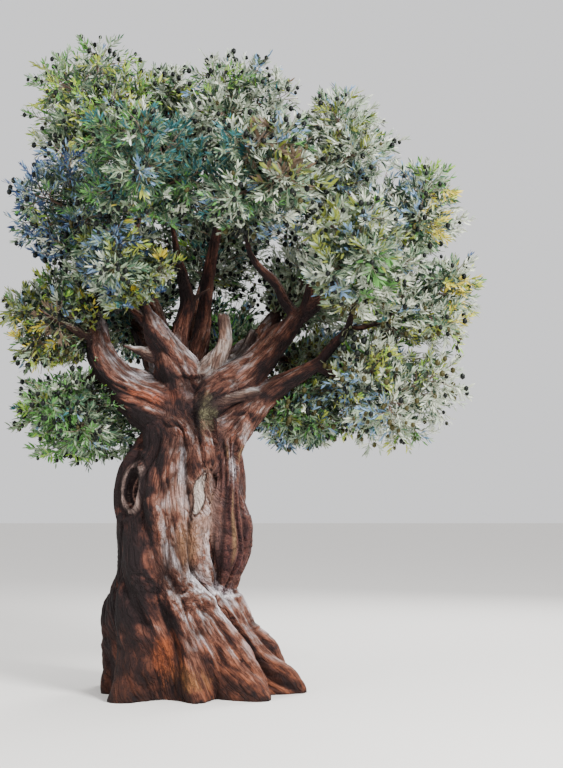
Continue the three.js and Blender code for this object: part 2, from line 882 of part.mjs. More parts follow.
const blocked = [wasm.Manifold.union(woodGrown)];
masses.forEach((mass, massIndex) => {
  const solid = massSolid(mass, massIndex, blocked);
  blocked.push(solid);
  add(mass.name, solid, leafMaterial(mass.colour));
});

export default tree;
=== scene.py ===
import json
import math
from functools import partial

import bpy
import numpy as np
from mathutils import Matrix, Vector
from mathutils.kdtree import KDTree

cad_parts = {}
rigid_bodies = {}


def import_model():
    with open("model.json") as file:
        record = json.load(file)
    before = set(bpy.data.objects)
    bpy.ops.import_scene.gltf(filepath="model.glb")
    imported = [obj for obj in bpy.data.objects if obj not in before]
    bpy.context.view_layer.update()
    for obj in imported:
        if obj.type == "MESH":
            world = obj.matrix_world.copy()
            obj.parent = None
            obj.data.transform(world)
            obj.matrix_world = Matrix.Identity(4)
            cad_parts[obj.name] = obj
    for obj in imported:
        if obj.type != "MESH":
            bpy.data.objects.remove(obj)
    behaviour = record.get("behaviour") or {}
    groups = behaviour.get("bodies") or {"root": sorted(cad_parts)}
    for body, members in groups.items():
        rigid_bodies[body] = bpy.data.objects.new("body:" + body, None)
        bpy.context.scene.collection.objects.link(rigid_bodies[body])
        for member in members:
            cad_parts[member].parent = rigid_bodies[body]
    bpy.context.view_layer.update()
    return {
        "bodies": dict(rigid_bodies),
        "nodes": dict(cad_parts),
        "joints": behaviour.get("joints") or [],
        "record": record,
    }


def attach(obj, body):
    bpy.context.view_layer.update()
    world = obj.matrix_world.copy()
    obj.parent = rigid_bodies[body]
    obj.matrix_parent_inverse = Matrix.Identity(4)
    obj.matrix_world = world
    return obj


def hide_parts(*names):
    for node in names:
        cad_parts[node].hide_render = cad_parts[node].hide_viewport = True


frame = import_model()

mm = 0.001
goldenAngle = math.pi * (3 - math.sqrt(5))

# An old olive tree. X runs to the right, -Y towards the viewer, Z up, and the trunk's foot is at 0.
# The tables of the trunk, limbs and masses repeat the solids' own, in millimetres.


# sRGB hex to the linear values that the shaders take.
def linear(hexValue):
    parts = [int(hexValue[i:i + 2], 16) / 255 for i in (1, 3, 5)]
    return [c / 12.92 if c <= 0.04045 else ((c + 0.055) / 1.055) ** 2.4 for c in parts] + [1.0]


# Kinds of node under short names: Blender's own, its settings, the inputs that are fed, the output
nodeKinds = {
    "attribute": ["Attribute", {}, (), "Fac"],
    "position": ["TexCoord", {}, (), "Object"],
    "mapping": ["Mapping", {}, ("Vector", "Scale"), 0],
    "noise": ["TexNoise", {}, ("Vector", "Scale", "Detail"), 0],
    "cells": ["TexVoronoi", {"feature": "F1"}, ("Vector", "Scale"), "Color"],
    "cellEdges": ["TexVoronoi", {"feature": "DISTANCE_TO_EDGE"}, ("Vector", "Scale"), 0],
    "firstChannel": ["SeparateColor", {}, (0,), 0],
    "vectorTimes": ["VectorMath", {"operation": "SCALE"}, (0, "Scale"), 0],
    "vectorPlus": ["VectorMath", {"operation": "ADD"}, (0, 1), 0],
    "range": ["MapRange", {}, (0, 1, 2), 0],
    "blend": ["Mix", {"data_type": "RGBA"}, (0, 6, 7), 2],
    "ramp": ["ValToRGB", {}, (0,), 0],
    "bump": ["Bump", {}, ("Height", "Distance", "Strength"), 0],
}
anySums = {"sum": "ADD", "difference": "SUBTRACT", "product": "MULTIPLY"}
sharesOnly = {"plus": "ADD", "minus": "SUBTRACT", "times": "MULTIPLY", "larger": "MAXIMUM"}  # 0 to 1
for short, operation in {**anySums, **sharesOnly}.items():
    nodeKinds[short] = ["Math", {"operation": operation, "use_clamp": short in sharesOnly}, (0, 1), 0]


# Feeds an input from a socket, or sets it to a number or a colour.
def feed(socket, value):
    if isinstance(value, bpy.types.NodeSocket):
        socket.id_data.links.new(value, socket)
    else:
        socket.default_value = value


# Adds one node with its settings and what feeds its inputs, and gives its output.
def addNode(material, kind, *values, output=None, **settings):
    blenderName, fixed, inputs, usual = nodeKinds[kind]
    node = material.node_tree.nodes.new("ShaderNode" + blenderName)
    for name, value in {**fixed, **settings}.items():
        setattr(node, name, value)
    for name, value in zip(inputs, values):
        feed(node.inputs[name], value)
    return node.outputs[usual if output is None else output]


# A material with its finish, by the shader's inputs, and its plain colour if it has one.
def newMaterial(name, finish, hexValue=None):
    material = bpy.data.materials.new(name)
    material.use_nodes = True
    shader = material.node_tree.nodes["Principled BSDF"]
    if hexValue:
        shader.inputs["Base Color"].default_value = linear(hexValue)
    for socket, value in finish.items():
        shader.inputs[socket].default_value = value
    return material


# Lines and curves

def unit(vectors):
    return vectors / np.maximum(np.linalg.norm(vectors, axis=-1, keepdims=True), 1e-9)


def mix(pair, share):
    return pair[0] + (pair[1] - pair[0]) * share


# 1 at a middle, falling off on both sides of it.
def bell(values, middle, width):
    return np.exp(-(((values - middle) / width) ** 2))


def evenSteps(line, count):
    run = np.linalg.norm(np.diff(line, axis=0), axis=1)
    at = np.concatenate([[0], np.cumsum(run)])
    wanted = np.linspace(0, at[-1], count)
    return np.stack([np.interp(wanted, at, line[:, k]) for k in range(3)], axis=1)


# A cubic from a to b over a span, with the slopes that it leaves and arrives by.
def cubic(t, a, b, leave, arrive, span=1):
    return (
        (2 * t**3 - 3 * t**2 + 1) * a + (t**3 - 2 * t**2 + t) * leave * span
        + (3 * t**2 - 2 * t**3) * b + (t**3 - t**2) * arrive * span
    )


# A smooth line through points in millimetres, stepped evenly.
def smoothLine(points, count):
    p = np.asarray(points, float) * mm
    p = np.vstack([2 * p[0] - p[1], p, 2 * p[-1] - p[-2]])
    t = np.linspace(0, 1, 24, endpoint=False)[:, None]
    rows = [
        cubic(t, a, b, (b - before) / 2, (after - a) / 2)
        for before, a, b, after in zip(p, p[1:], p[2:], p[3:])
    ]
    return evenSteps(np.vstack([*rows, p[-2:-1]]), count)


# Tangent, side and up along a line, which turn as little as they can.
def framesOf(line):
    tangents = unit(np.gradient(line, axis=0))
    side = np.cross(tangents[0], np.eye(3)[np.argmin(np.abs(tangents[0]))])
    sides = []
    for tangent in tangents:
        side = unit(side - tangent * (side @ tangent))
        sides.append(side)
    sides = np.array(sides)
    return tangents, sides, np.cross(tangents, sides)


# The table's columns at the given values of its first one, by a cubic through the rows.
def tableAt(table, values):
    rows = np.asarray(table, float)
    keys, columns = rows[:, 0], rows[:, 1:]
    values = np.clip(values, keys[0], keys[-1])
    k = np.clip(np.searchsorted(keys, values, side="right") - 1, 0, len(keys) - 2)
    ends = np.arange(len(keys))
    low, high = np.maximum(ends - 1, 0), np.minimum(ends + 1, len(keys) - 1)
    slopes = (columns[high] - columns[low]) / (keys[high] - keys[low])[:, None]
    span = (keys[k + 1] - keys[k])[..., None]
    t = (values - keys[k])[..., None] / span
    return cubic(t, columns[k], columns[k + 1], slopes[k], slopes[k + 1], span)


hashFactors = (73856093, 19349663, 83492791, 2654435761)  # of x, y, z and the seed
hashSteps = ((13, 1274126177), (15, 2246822519))


# Seeded noise in space, smooth, from 0 to 1 over cells of size 1.
def noiseAt(points, seed):
    cell = np.floor(points).astype(np.int64)
    part = points - cell
    part = part * part * (3 - 2 * part)
    total = np.zeros(len(points))
    for corner in np.ndindex(2, 2, 2):
        x, y, z = (cell + np.array(corner)).T
        n = (x * hashFactors[0]) ^ (y * hashFactors[1]) ^ (z * hashFactors[2]) ^ (seed * hashFactors[3])
        for shift, factor in hashSteps:
            n = ((n ^ (n >> shift)) * factor) & 0x7FFFFFFF
        weight = np.prod(np.where(np.array(corner) == 1, part, 1 - part), axis=1)
        total += weight * ((n >> 8) & 0xFFFF) / 0xFFFF
    return total


# Sharp furrows between rounded cords: 0 in a furrow, 1 on a cord.
def cordsAt(points, seed):
    return np.clip(np.abs(2 * noiseAt(points, seed) - 1) * 1.7, 0, 1) ** 0.85


# Meshes from arrays

# Triangles between the rings of a tube
def grid(rows, columns):
    a = (np.arange(rows - 1)[:, None] * columns + np.arange(columns)).ravel()
    b = (np.arange(rows - 1)[:, None] * columns + (np.arange(columns) + 1) % columns).ravel()
    return np.vstack([np.stack([a, b, b + columns], 1), np.stack([a, b + columns, a + columns], 1)])


# Fans that close a tube's ends onto two further points, first its foot's middle and then its tip's.
def endFans(rows, sides):
    ring = np.arange(sides)
    after = (ring + 1) % sides
    last = (rows - 1) * sides
    middle = np.full(sides, rows * sides)
    foot = np.stack([after, ring, middle], 1)
    return np.vstack([foot, np.stack([last + ring, last + after, middle + 1], 1)])


# A closed tube through rings of points: (rows, sides, 3).
def tubeOf(rings):
    rows, sides = rings.shape[:2]
    points = np.vstack([rings.reshape(-1, 3), rings[0].mean(0), rings[-1].mean(0)])
    return points, np.vstack([grid(rows, sides), endFans(rows, sides)])


# One shape's triangles for each of many copies of its points
def repeated(triangles, count, size):
    return (triangles + (np.arange(count) * size)[:, None, None]).reshape(-1, 3)


# Several meshes as one
def joined(parts):
    offset, points, triangles = 0, [], []
    for p, t in parts:
        points.append(p)
        triangles.append(t + offset)
        offset += len(p)
    return np.vstack(points), np.vstack(triangles)


def addObject(name, data):
    thing = bpy.data.objects.new(name, data)
    bpy.context.scene.collection.objects.link(thing)
    return thing


def addMesh(name, points, triangles, material):
    mesh = bpy.data.meshes.new(name)
    mesh.vertices.add(len(points))
    mesh.vertices.foreach_set("co", np.asarray(points, np.float32).ravel())
    mesh.loops.add(triangles.size)
    mesh.loops.foreach_set("vertex_index", np.asarray(triangles, np.int32).ravel())
    mesh.polygons.add(len(triangles))
    mesh.polygons.foreach_set("loop_start", np.arange(0, triangles.size, 3, dtype=np.int32))
    mesh.update(calc_edges=True)
    mesh.shade_smooth()
    mesh.materials.append(material)
    return addObject(name, mesh)


# Fixes a piece to the tree, with the solids that it stands for; its material slot is not used.
def place(piece, slot, *nodes):
    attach(piece, "root")
    if nodes:
        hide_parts(*nodes)


# The trunk: heights, then its left, right, front and back edges
trunk = {
    "levels": [
        [0, -668, 446, -440, 470],
        [200, -700, 455, -440, 465],
        [420, -735, 450, -435, 450],
        [640, -738, 366, -420, 430],
        [820, -698, 285, -400, 405],
        [1000, -640, 195, -385, 385],
        [1200, -598, 172, -370, 370],
        [1400, -574, 196, -360, 360],
        [1600, -566, 228, -355, 355],
        [1800, -520, 285, -345, 350],
        [1960, -445, 330, -310, 330],
        [2100, -370, 280, -240, 270],
        [2230, -280, 120, -150, 180],
        [2320, -180, 20, -60, 90],
    ],
    # bearing in degrees, reach past the trunk, height and half width
    "roots": [
        [-5, 365, 300, 14],
        [-42, 330, 300, 11],
        [-80, 310, 400, 13],
        [-124, 270, 300, 12],
        [-168, 90, 300, 14],
        [142, 270, 320, 12],
        [96, 320, 380, 12],
        [46, 320, 320, 13],
    ],
    # how many cords wind up it, how deep, their turn over a metre and where they start
    "cords": [[7, 0.05, 0.9, 0.6], [4, 0.035, -0.6, 1.9]],
    # the rough cord of dead wood down its right side: height, x, y and radius
    "deadCord": [
        [680, 130, -40, 60],
        [820, 200, -80, 105],
        [980, 242, -110, 146],
        [1120, 262, -130, 176],
        [1280, 266, -140, 170],
        [1420, 262, -140, 150],
        [1600, 272, -130, 124],
        [1780, 276, -110, 112],
        [1930, 262, -80, 92],
        [2040, 250, -50, 60],
    ],
    # how many lumps go round it, how deep, and the rise over which they turn by a radian
    "deadCordLumps": [[3, 0.1, 90], [2, 0.07, -140]],
}

# Limbs from foot to tip: points, then radius at the foot and the tip, and how the taper runs
limbs = {
    "stem_left": [[[-120, 0, 1700], [-128, 0, 1980], [-140, 5, 2220], [-110, 10, 2430]], 335, 150, 0.6],
    "bough_left": [
        [[-70, 10, 2040], [-320, -30, 2270], [-548, -60, 2428], [-696, -80, 2580], [-776, -60, 2740],
         [-792, -20, 2930]], 250, 72, 1.15],
    "bough_upper_left": [
        [[-40, 20, 2230], [-110, -10, 2450], [-185, -50, 2640], [-290, -90, 2820], [-368, -120, 2995]],
        230, 40, 0.8],
    "bough_right": [
        [[0, 0, 2240], [216, -30, 2400], [408, -50, 2520], [568, -60, 2672], [712, -50, 2856],
         [832, -40, 3008]], 230, 64, 1.1],
    "bough_low_right": [
        [[110, -50, 1760], [280, -60, 2060], [464, -70, 2275], [640, -80, 2415], [870, -90, 2540],
         [1016, -90, 2630]], 200, 50, 1.3],
    "bough_rear_left": [
        [[-160, 120, 2260], [-330, 420, 2600], [-480, 700, 2850], [-570, 860, 3010]], 150, 60, 1],
    "bough_rear_right": [
        [[20, 120, 2260], [230, 430, 2600], [450, 700, 2860], [620, 880, 3080]], 150, 60, 1],
    "bough_rear_centre": [[[-60, 120, 2380], [-30, 400, 2800], [10, 650, 3180], [40, 850, 3450]], 110, 46, 1],
    "bough_rear_low": [[[200, 400, 2580], [190, 540, 2660], [180, 690, 2730]], 62, 40, 1],
    "bough_rear_low_right": [[[330, 560, 2720], [560, 700, 2730], [740, 810, 2720]], 60, 36, 1],
    "bough_left_low": [
        [[-690, -70, 2575], [-820, -60, 2500], [-930, -20, 2430], [-1010, 30, 2370]], 60, 24, 1],
    "twig_left_bare": [
        [[-780, -60, 2760], [-880, -110, 2824], [-984, -160, 2890], [-1120, -210, 2950],
         [-1224, -240, 3030]], 44, 8, 1],
    "snag_left": [[[-190, -50, 2630], [-380, -70, 2690], [-550, -80, 2745]], 92, 14, 1],
    "bough_left_arm": [
        [[-280, -85, 2800], [-400, -50, 2950], [-530, -20, 3080], [-670, 0, 3200], [-790, 10, 3340]],
        50, 26, 1],
    "bough_back_left": [
        [[-150, 60, 2690], [-125, 70, 2900], [-66, 50, 3096], [-96, 0, 3272], [-140, -110, 3456],
         [-170, -260, 3660]], 92, 20, 1],
    "twig_back_left_bare": [[[-66, 50, 3100], [24, 30, 3176], [112, 10, 3226]], 28, 9, 1],
    "bough_high_left": [
        [[-190, 100, 2560], [-300, 170, 2860], [-440, 210, 3200], [-584, 210, 3520], [-720, 170, 3840],
         [-800, 120, 4290]], 86, 28, 1],
    "bough_high_middle": [[[-570, 210, 3500], [-480, 300, 3850], [-380, 360, 4110]], 36, 24, 1],
    "bough_high_centre": [
        [[-20, 110, 2480], [40, 260, 2950], [90, 320, 3420], [180, 270, 3900], [240, 170, 4300]], 84, 28, 1],
    "stub_centre": [[[90, -40, 2470], [176, -60, 2624], [236, -70, 2790], [226, -70, 2976]], 125, 46, 2],
    "stub_right": [[[264, 20, 2560], [380, 50, 2700], [456, 70, 2862]], 105, 48, 1.6],
    "bough_right_inner": [
        [[815, -40, 2985], [712, -60, 3128], [650, -90, 3245], [496, -160, 3392], [432, -260, 3500],
         [410, -400, 3640]], 58, 18, 1],
    "bough_right_middle": [
        [[845, -30, 2990], [915, -20, 3150], [944, -10, 3330], [1000, 0, 3600], [1050, 0, 3880]], 52, 22, 1],
    "bough_right_outer": [
        [[850, -40, 2980], [1016, -50, 3120], [1190, -60, 3215], [1360, -60, 3370], [1460, -60, 3560]],
        50, 24, 1],
    "bough_low_right_upper": [
        [[990, -90, 2615], [1112, -140, 2760], [1210, -210, 2872], [1260, -340, 3030]], 44, 22, 1],
    "bough_low_right_outer": [[[1205, -205, 2866], [1330, -150, 2890], [1420, -90, 2920]], 30, 20, 1],
    "bough_low_right_lower": [[[980, -90, 2600], [1080, -70, 2530], [1190, -40, 2480]], 42, 26, 1],
    "bough_low_inner": [[[620, -60, 2390], [690, 100, 2390], [760, 220, 2370]], 62, 34, 1],
    "spur_dead": [[[570, -80, 2350], [450, -150, 2368], [320, -190, 2325], [130, -205, 2285]], 58, 14, 1],
}
shellOf = {"steps": 40, "sides": 20, "thinnest": 0.012, "lumpy": 0.05}  # the limbs' own tubes
bareLimbs = ["twig_left_bare", "snag_left", "twig_back_left_bare", "stub_centre", "stub_right", "spur_dead"]


# A limb's radius at shares of its length
def limbRadius(name, along):
    _, foot, tip, taper = limbs[name]
    return (tip + (foot - tip) * (1 - along) ** taper) * mm


# The trunk's half widths and middle at heights in metres
def trunkAt(height):
    left, right, front, back = np.moveaxis(tableAt(trunk["levels"], height / mm) * mm, -1, 0)
    return (left + right) / 2, (front + back) / 2, (right - left) / 2, (back - front) / 2


# The trunk as a tube that cords wind round and roots spread out from
def trunkShell(rows, sides):
    height = (np.linspace(0, 1, rows) ** 1.15 * trunk["levels"][-1][0] * mm)[:, None]
    angle = (np.arange(sides) * 2 * math.pi / sides)[None, :]
    x, y, wide, deep = trunkAt(height[:, 0])
    swell = 1
    for count, depth, turn, start in trunk["cords"]:
        swell = swell + depth * np.cos(count * angle + turn * height + start)
    reach = 0
    for bearing, far, rise, spread in trunk["roots"]:
        off = (np.degrees(angle) - bearing + 180) % 360 - 180
        reach = reach + far * mm * np.exp(-((off / spread) ** 2)) * np.exp(-((height / mm / rise) ** 1.3))
    rings = np.stack([
        x[:, None] + (wide[:, None] * swell + reach) * np.cos(angle),
        y[:, None] + (deep[:, None] * swell + reach) * np.sin(angle),
        np.broadcast_to(height, (rows, sides)),
    ], axis=2)
    return tubeOf(rings)


def deadCordShell(rows, sides):
    table = trunk["deadCord"]
    height = np.linspace(table[0][0], table[-1][0], rows)
    x, y, radius = tableAt(table, height).T
    angle = np.arange(sides) * 2 * math.pi / sides
    ragged = 1
    for count, depth, rise in trunk["deadCordLumps"]:
        ragged = ragged + depth * np.sin(count * angle + height[:, None] / rise)
    wide = radius[:, None] * ragged
    rings = np.stack([
        x[:, None] + wide * np.cos(angle), y[:, None] + wide * np.sin(angle),
        np.broadcast_to(height[:, None], wide.shape),
    ], axis=2)
    return tubeOf(rings * mm)


# A limb's own tube before it is joined to the others, a little lumpy
def limbShell(bone):
    line, frames, sides = bone["line"], bone["frames"], shellOf["sides"]
    along = np.linspace(0, 1, len(line))[:, None]
    angle = (np.arange(sides) * 2 * math.pi / sides)[None, :]
    start = bone["radius"][0] * 1000  # turns the lumps of each limb another way
    lumps = np.sin(3 * angle + 7 * along + start) + 0.7 * np.sin(2 * angle - 13 * along)
    wide = np.maximum(bone["radius"], shellOf["thinnest"])[:, None] * (1 + shellOf["lumpy"] * lumps)
    wide = wide[..., None]
    across = frames[:, None, 1] * np.cos(angle)[..., None] + frames[:, None, 2] * np.sin(angle)[..., None]
    return tubeOf(line[:, None] + wide * across)


# A limb's line with its radius and frames: these carry the bark's run and keep leaves off the wood.
def boneOf(line, radius):
    steps = np.concatenate([[0], np.cumsum(np.linalg.norm(np.diff(line, axis=0), axis=1))])
    return {"line": line, "radius": radius, "steps": steps, "frames": np.stack(framesOf(line), 1)}


bones, along = {}, np.linspace(0, 1, shellOf["steps"])
for name in limbs:
    bones[name] = boneOf(smoothLine(limbs[name][0], shellOf["steps"]), limbRadius(name, along))
heights = np.linspace(0, 2.25, 60)
x, y, wide, deep = trunkAt(heights)
bones["trunk"] = boneOf(np.stack([x, y, heights], 1), (wide + deep) / 2)


# Masses of foliage: bough, middle and radii in millimetres, and the colours its sprays are dealt
# The masses on the right are dealt many pale leaves, a painted highlight on the side the light falls on as
# well as the leaves' own silver.
masses = {
    "top_left": ["bough_high_left", [-856, 100, 4784], [704, 600, 576],
                 {"fresh": 4, "leafGreen": 3, "yellowGreen": 2, "sage": 4, "silver": 1.5, "oliveGreen": 1}],
    "top_middle": ["bough_high_middle", [-280, 400, 4760], [496, 520, 480],
                   {"sage": 4, "silver": 4, "pale": 2, "yellowGreen": 1, "fresh": 1.5}],
    "top_centre": ["bough_high_centre", [312, 100, 4704], [640, 600, 544],
                   {"silver": 5, "pale": 5, "sage": 2.5, "fresh": 1, "blueGrey": 0.6}],
    "upper_right": ["bough_right_middle", [1120, 0, 4336], [680, 640, 600],
                    {"silver": 5, "pale": 5, "sage": 3, "oliveGreen": 0.8, "blueGrey": 1}],
    "right": ["bough_right_outer", [1680, -50, 3824], [608, 620, 576],
              {"silver": 5, "pale": 5, "sage": 3, "blueGrey": 1, "fresh": 0.4}],
    "far_right": ["bough_low_right_outer", [1848, 50, 3104], [608, 620, 528],
                  {"pale": 5, "silver": 4, "sage": 1.5, "mustard": 0.5, "yellowGreen": 0.7}],
    "low_right": ["bough_low_right_lower", [1608, 0, 2400], [640, 640, 608],
                  {"pale": 4, "silver": 4, "sage": 2, "yellowGreen": 1, "blueGrey": 1, "oliveGreen": 0.6}],
    "low_inner": ["bough_low_inner", [880, 350, 2224], [512, 520, 416],
                  {"blueGrey": 3, "leafGreen": 1.5, "oliveGreen": 1, "sage": 4, "deepGreen": 1.5}],
    "left_upper": ["bough_left_arm", [-984, -100, 3920], [608, 620, 576],
                   {"slate": 5, "blueGrey": 3.5, "sage": 2.5, "deepGreen": 2.5, "oliveGreen": 0.7,
                    "pale": 0.5}],
    "left_middle": ["bough_left", [-1192, 40, 2992], [464, 540, 512],
                    {"oliveGreen": 3, "mustard": 0.8, "sage": 4, "umberGreen": 1.5, "yellowGreen": 1.5,
                     "blueGrey": 1}],
    "low_left": ["bough_left_low", [-920, 150, 2176], [640, 600, 496],
                 {"leafGreen": 5, "fresh": 2.5, "deepGreen": 3, "sage": 3, "teal": 0.7}],
    "front_upper_left": ["bough_back_left", [-360, -800, 4096], [608, 560, 528],
                         {"teal": 6.5, "deepGreen": 5, "sage": 2, "leafGreen": 1.5, "blueGrey": 2}],
    "front_upper_right": ["bough_right_inner", [536, -850, 4000], [608, 560, 528],
                          {"silver": 4, "pale": 1.5, "sage": 4, "deepGreen": 1, "blueGrey": 2.5}],
    "front_right": ["bough_low_right_upper", [1256, -700, 3424], [560, 540, 496],
                    {"silver": 5, "pale": 4, "sage": 3, "oliveGreen": 0.8, "blueGrey": 0.8}],
    "front_left": ["bough_upper_left", [-568, -520, 3376], [480, 480, 400],
                   {"sage": 4.5, "silver": 1.5, "blueGrey": 3, "yellowGreen": 1, "slate": 2.5,
                    "oliveGreen": 1}],
    "rear_left": ["bough_rear_left", [-800, 1100, 3344], [688, 640, 624],
                  {"deepGreen": 2, "leafGreen": 2, "sage": 5, "teal": 1, "blueGrey": 1, "silver": 1}],
    "rear_centre": ["bough_rear_centre", [56, 1250, 3880], [736, 660, 672],
                    {"sage": 5, "silver": 3, "teal": 1, "deepGreen": 1.5, "pale": 0.7}],
    "rear_right": ["bough_rear_right", [1120, 1150, 3504], [720, 660, 656],
                   {"sage": 4, "silver": 5, "pale": 1.5, "oliveGreen": 0.8, "blueGrey": 1}],
    "rear_low": ["bough_rear_low", [136, 1050, 2896], [576, 520, 464],
                 {"deepGreen": 3, "teal": 2, "sage": 2, "leafGreen": 4}],
    "rear_low_right": ["bough_rear_low_right", [1176, 950, 2624], [576, 540, 448],
                       {"sage": 4, "oliveGreen": 1.5, "silver": 3, "leafGreen": 1, "blueGrey": 1}],
}
massNames = list(masses)
middles = np.array([masses[name][1] for name in massNames]) * mm
radii = np.array([masses[name][2] for name in massNames]) * mm

# Leaf colours: the hex value, the material slot, the tone beside it and the one of the leaf's underside
leafColours = {
    "silver": ["#9AA592", "leaves_silver", "pale", "silver"],
    "pale": ["#C4C9B6", "leaves_silver", "silver", "silver"],
    "sage": ["#7F9274", "leaves_silver", "deepGreen", "silver"],
    "blueGrey": ["#6A88A6", "leaves_blue", "sage", "silver"],
    "slate": ["#273E66", "leaves_blue", "blueGrey", "blueGrey"],
    "teal": ["#205C5E", "leaves_green", "deepGreen", "sage"],
    "deepGreen": ["#34553A", "leaves_green", "leafGreen", "sage"],
    "shadeGreen": ["#2A4230", "leaves_green", "deepGreen", "silver"],
    "leafGreen": ["#4E8238", "leaves_green", "sage", "sage"],
    "fresh": ["#7FA638", "leaves_green", "leafGreen", "silver"],
    "umberGreen": ["#5C4A38", "leaves_green", "oliveGreen", "sage"],
    "oliveGreen": ["#7C8630", "leaves_yellow", "sage", "silver"],
    "yellowGreen": ["#A9B244", "leaves_yellow", "fresh", "silver"],
    "mustard": ["#D0BC3C", "leaves_yellow", "yellowGreen", "silver"],
}
colourNames = list(leafColours)

# The rule that a stem, a twig and a shoot all branch by: how many come out, how far ahead the first
# and the last point, how near their targets lie to the outline, the share of the parent, from its end
# back, that they come out of, how far they lead on along it, and what they leave free before their
# target. The solids' twigs leave room for a blade. "space" is the fan's own space over its mass's.
fans = {
    "twigs": {"count": 8, "ahead": (0.95, -0.65), "turnRange": 0.8, "reach": (0.92, 1.0), "share": 0.62,
              "lead": 0.12},
    "backs": {"count": 30, "ahead": (0.94, 0.15), "turnRange": 0.8, "reach": (0.7, 1.04), "share": 0.55,
              "lead": 0.12, "left": 0.10},
    "branchlets": {"count": 12, "ahead": (0.95, -0.75), "turnRange": 0.9, "reach": (0.75, 1.05),
                   "share": 0.9, "lead": 0.35, "left": 0.10, "space": 0.52},
    "shoots": {"count": 5, "ahead": (0.97, 0.0), "turnRange": 1.2, "reach": (0.8, 1.1), "share": 0.85,
               "lead": 0.12, "left": 0.03, "space": 0.27},
}
stemBend = 0.45  # where a stem turns, over its length
stemPast = 0.1  # how far it runs past its mass's middle, over the mean radius
necks = {"from": 1.65, "rise": 0.7, "most": 0.32, "over": 0.04}  # how masses close up to each other
# Ends of a few more branchlets of a mass, in metres, where the fans leave it open beside a neighbour
closing = {
    "rear_right": [(0.46, 1.10, 3.44), (0.54, 1.20, 3.30), (0.50, 0.95, 3.36), (0.60, 1.35, 3.42),
                   (0.62, 0.90, 3.52), (0.48, 1.02, 3.24), (1.10, 0.55, 3.88), (0.80, 0.62, 3.90),
                   (1.35, 0.60, 3.72), (1.25, 0.55, 3.45), (1.00, 0.54, 3.55), (1.20, 0.56, 3.70),
                   (1.45, 0.66, 3.40), (1.10, 0.52, 3.30)],
    "rear_centre": [(0.40, 1.20, 3.32), (0.30, 1.00, 3.36), (0.34, 1.30, 3.30), (0.10, 1.10, 3.30),
                    (0.46, 1.00, 3.40), (0.22, 0.86, 3.36), (-0.16, 1.10, 3.30), (-0.02, 0.95, 3.30),
                    (-0.20, 0.70, 4.20), (0.15, 0.66, 4.20), (0.36, 0.76, 4.24), (0.00, 0.62, 3.80)],
    "rear_low": [(0.42, 1.10, 3.20), (0.30, 1.20, 3.28), (0.10, 1.10, 3.34), (-0.35, 1.00, 2.95),
                 (0.46, 0.96, 3.22), (0.20, 0.92, 3.30), (-0.20, 1.10, 3.18), (-0.30, 1.00, 3.08)],
    "rear_left": [(-0.60, 1.05, 2.72), (-0.45, 1.00, 2.86), (-0.74, 0.55, 3.60), (-0.70, 0.52, 3.36),
                  (-0.92, 0.58, 3.80), (-0.36, 1.05, 3.05), (-0.26, 1.10, 3.20), (-0.85, 0.52, 3.45),
                  (-1.00, 0.56, 3.30), (-0.60, 0.50, 3.20), (-0.75, 0.50, 3.05)],
    "left_middle": [(-1.25, 0.00, 2.53), (-1.10, -0.10, 2.52), (-1.36, 0.10, 2.62), (-1.00, 0.10, 2.58),
                    (-1.40, -0.02, 2.68), (-1.15, -0.22, 2.60), (-0.95, -0.16, 2.62), (-1.30, -0.20, 2.64),
                    (-0.88, 0.00, 2.66), (-1.05, 0.25, 2.56)],
    "low_left": [(-1.20, 0.10, 2.60), (-1.05, 0.00, 2.63), (-0.86, 0.10, 2.64), (-1.34, 0.15, 2.46),
                 (-1.38, 0.00, 2.48), (-1.15, -0.12, 2.56), (-0.95, -0.14, 2.60), (-0.76, -0.06, 2.62),
                 (-1.26, -0.04, 2.54), (-1.00, 0.20, 2.66), (-1.12, 0.02, 2.62)],
    "left_upper": [(-0.90, 0.46, 3.86), (-0.80, 0.40, 4.10), (-1.05, 0.40, 3.62), (-1.05, 0.45, 3.75),
                   (-0.75, 0.42, 3.90), (-1.20, 0.40, 3.95)],
    "right": [(1.60, 0.50, 3.70), (1.45, 0.50, 3.90), (1.80, 0.46, 3.60), (1.55, 0.44, 3.45)],
    "far_right": [(1.70, 0.58, 3.25), (1.50, 0.55, 3.35), (1.90, 0.55, 3.30)],
    "upper_right": [(1.10, 0.54, 4.10), (0.90, 0.50, 4.20), (1.30, 0.52, 4.02)],
}
closingFrom, closingArch = 0.45, 0.05  # where on a twig they start, and how far they arch up
solidLeafShare = 0.68  # a solid's blade over its mass's mean radius
lastBladeShare = 0.66  # how much of that the solids' twigs leave free
shortestTwig = 0.25  # over the way to its target
spaceAt = 0.92  # where on a parent the middle of its fan's space lies
twigEdge = 1.02  # how far out twigs may reach in a mass, where 1 is its outline


# The solids' own seeded draws
def sourceDraws(seed, count):
    modulus = 2**31 - 1
    state, draws = seed, []
    for _ in range(count):
        state = state * 16807 % modulus
        draws.append(state / modulus)
    return draws


# Points at shares of the way along curves, which are given by their feet, bends and ends.
def curveAt(curve, share):
    a, b, c = curve
    share = np.asarray(share)[..., None]
    return (1 - share) ** 2 * a + 2 * share * (1 - share) * b + share**2 * c


# How deep points lie in each mass, where 1 is on its outline: (points, masses).
def depths(points):
    return np.linalg.norm((points[:, None, :] - middles) / radii, axis=2)


# How deep each lies in its own mass.
def ownDepth(points, mass):
    return depths(points)[np.arange(len(points)), mass]


# A point keeps to its own mass; towards a neighbour it may go past the outline and close the neck.
def keepsTo(points, mass, edge):
    deep = depths(points)
    own = deep[np.arange(len(points)), mass]
    deep[np.arange(len(points)), mass] = np.inf
    nearest = deep.min(1)
    neck = np.clip((necks["from"] - nearest) * necks["rise"], 0, necks["most"])
    return (own <= edge + neck) & (own < nearest + necks["over"])


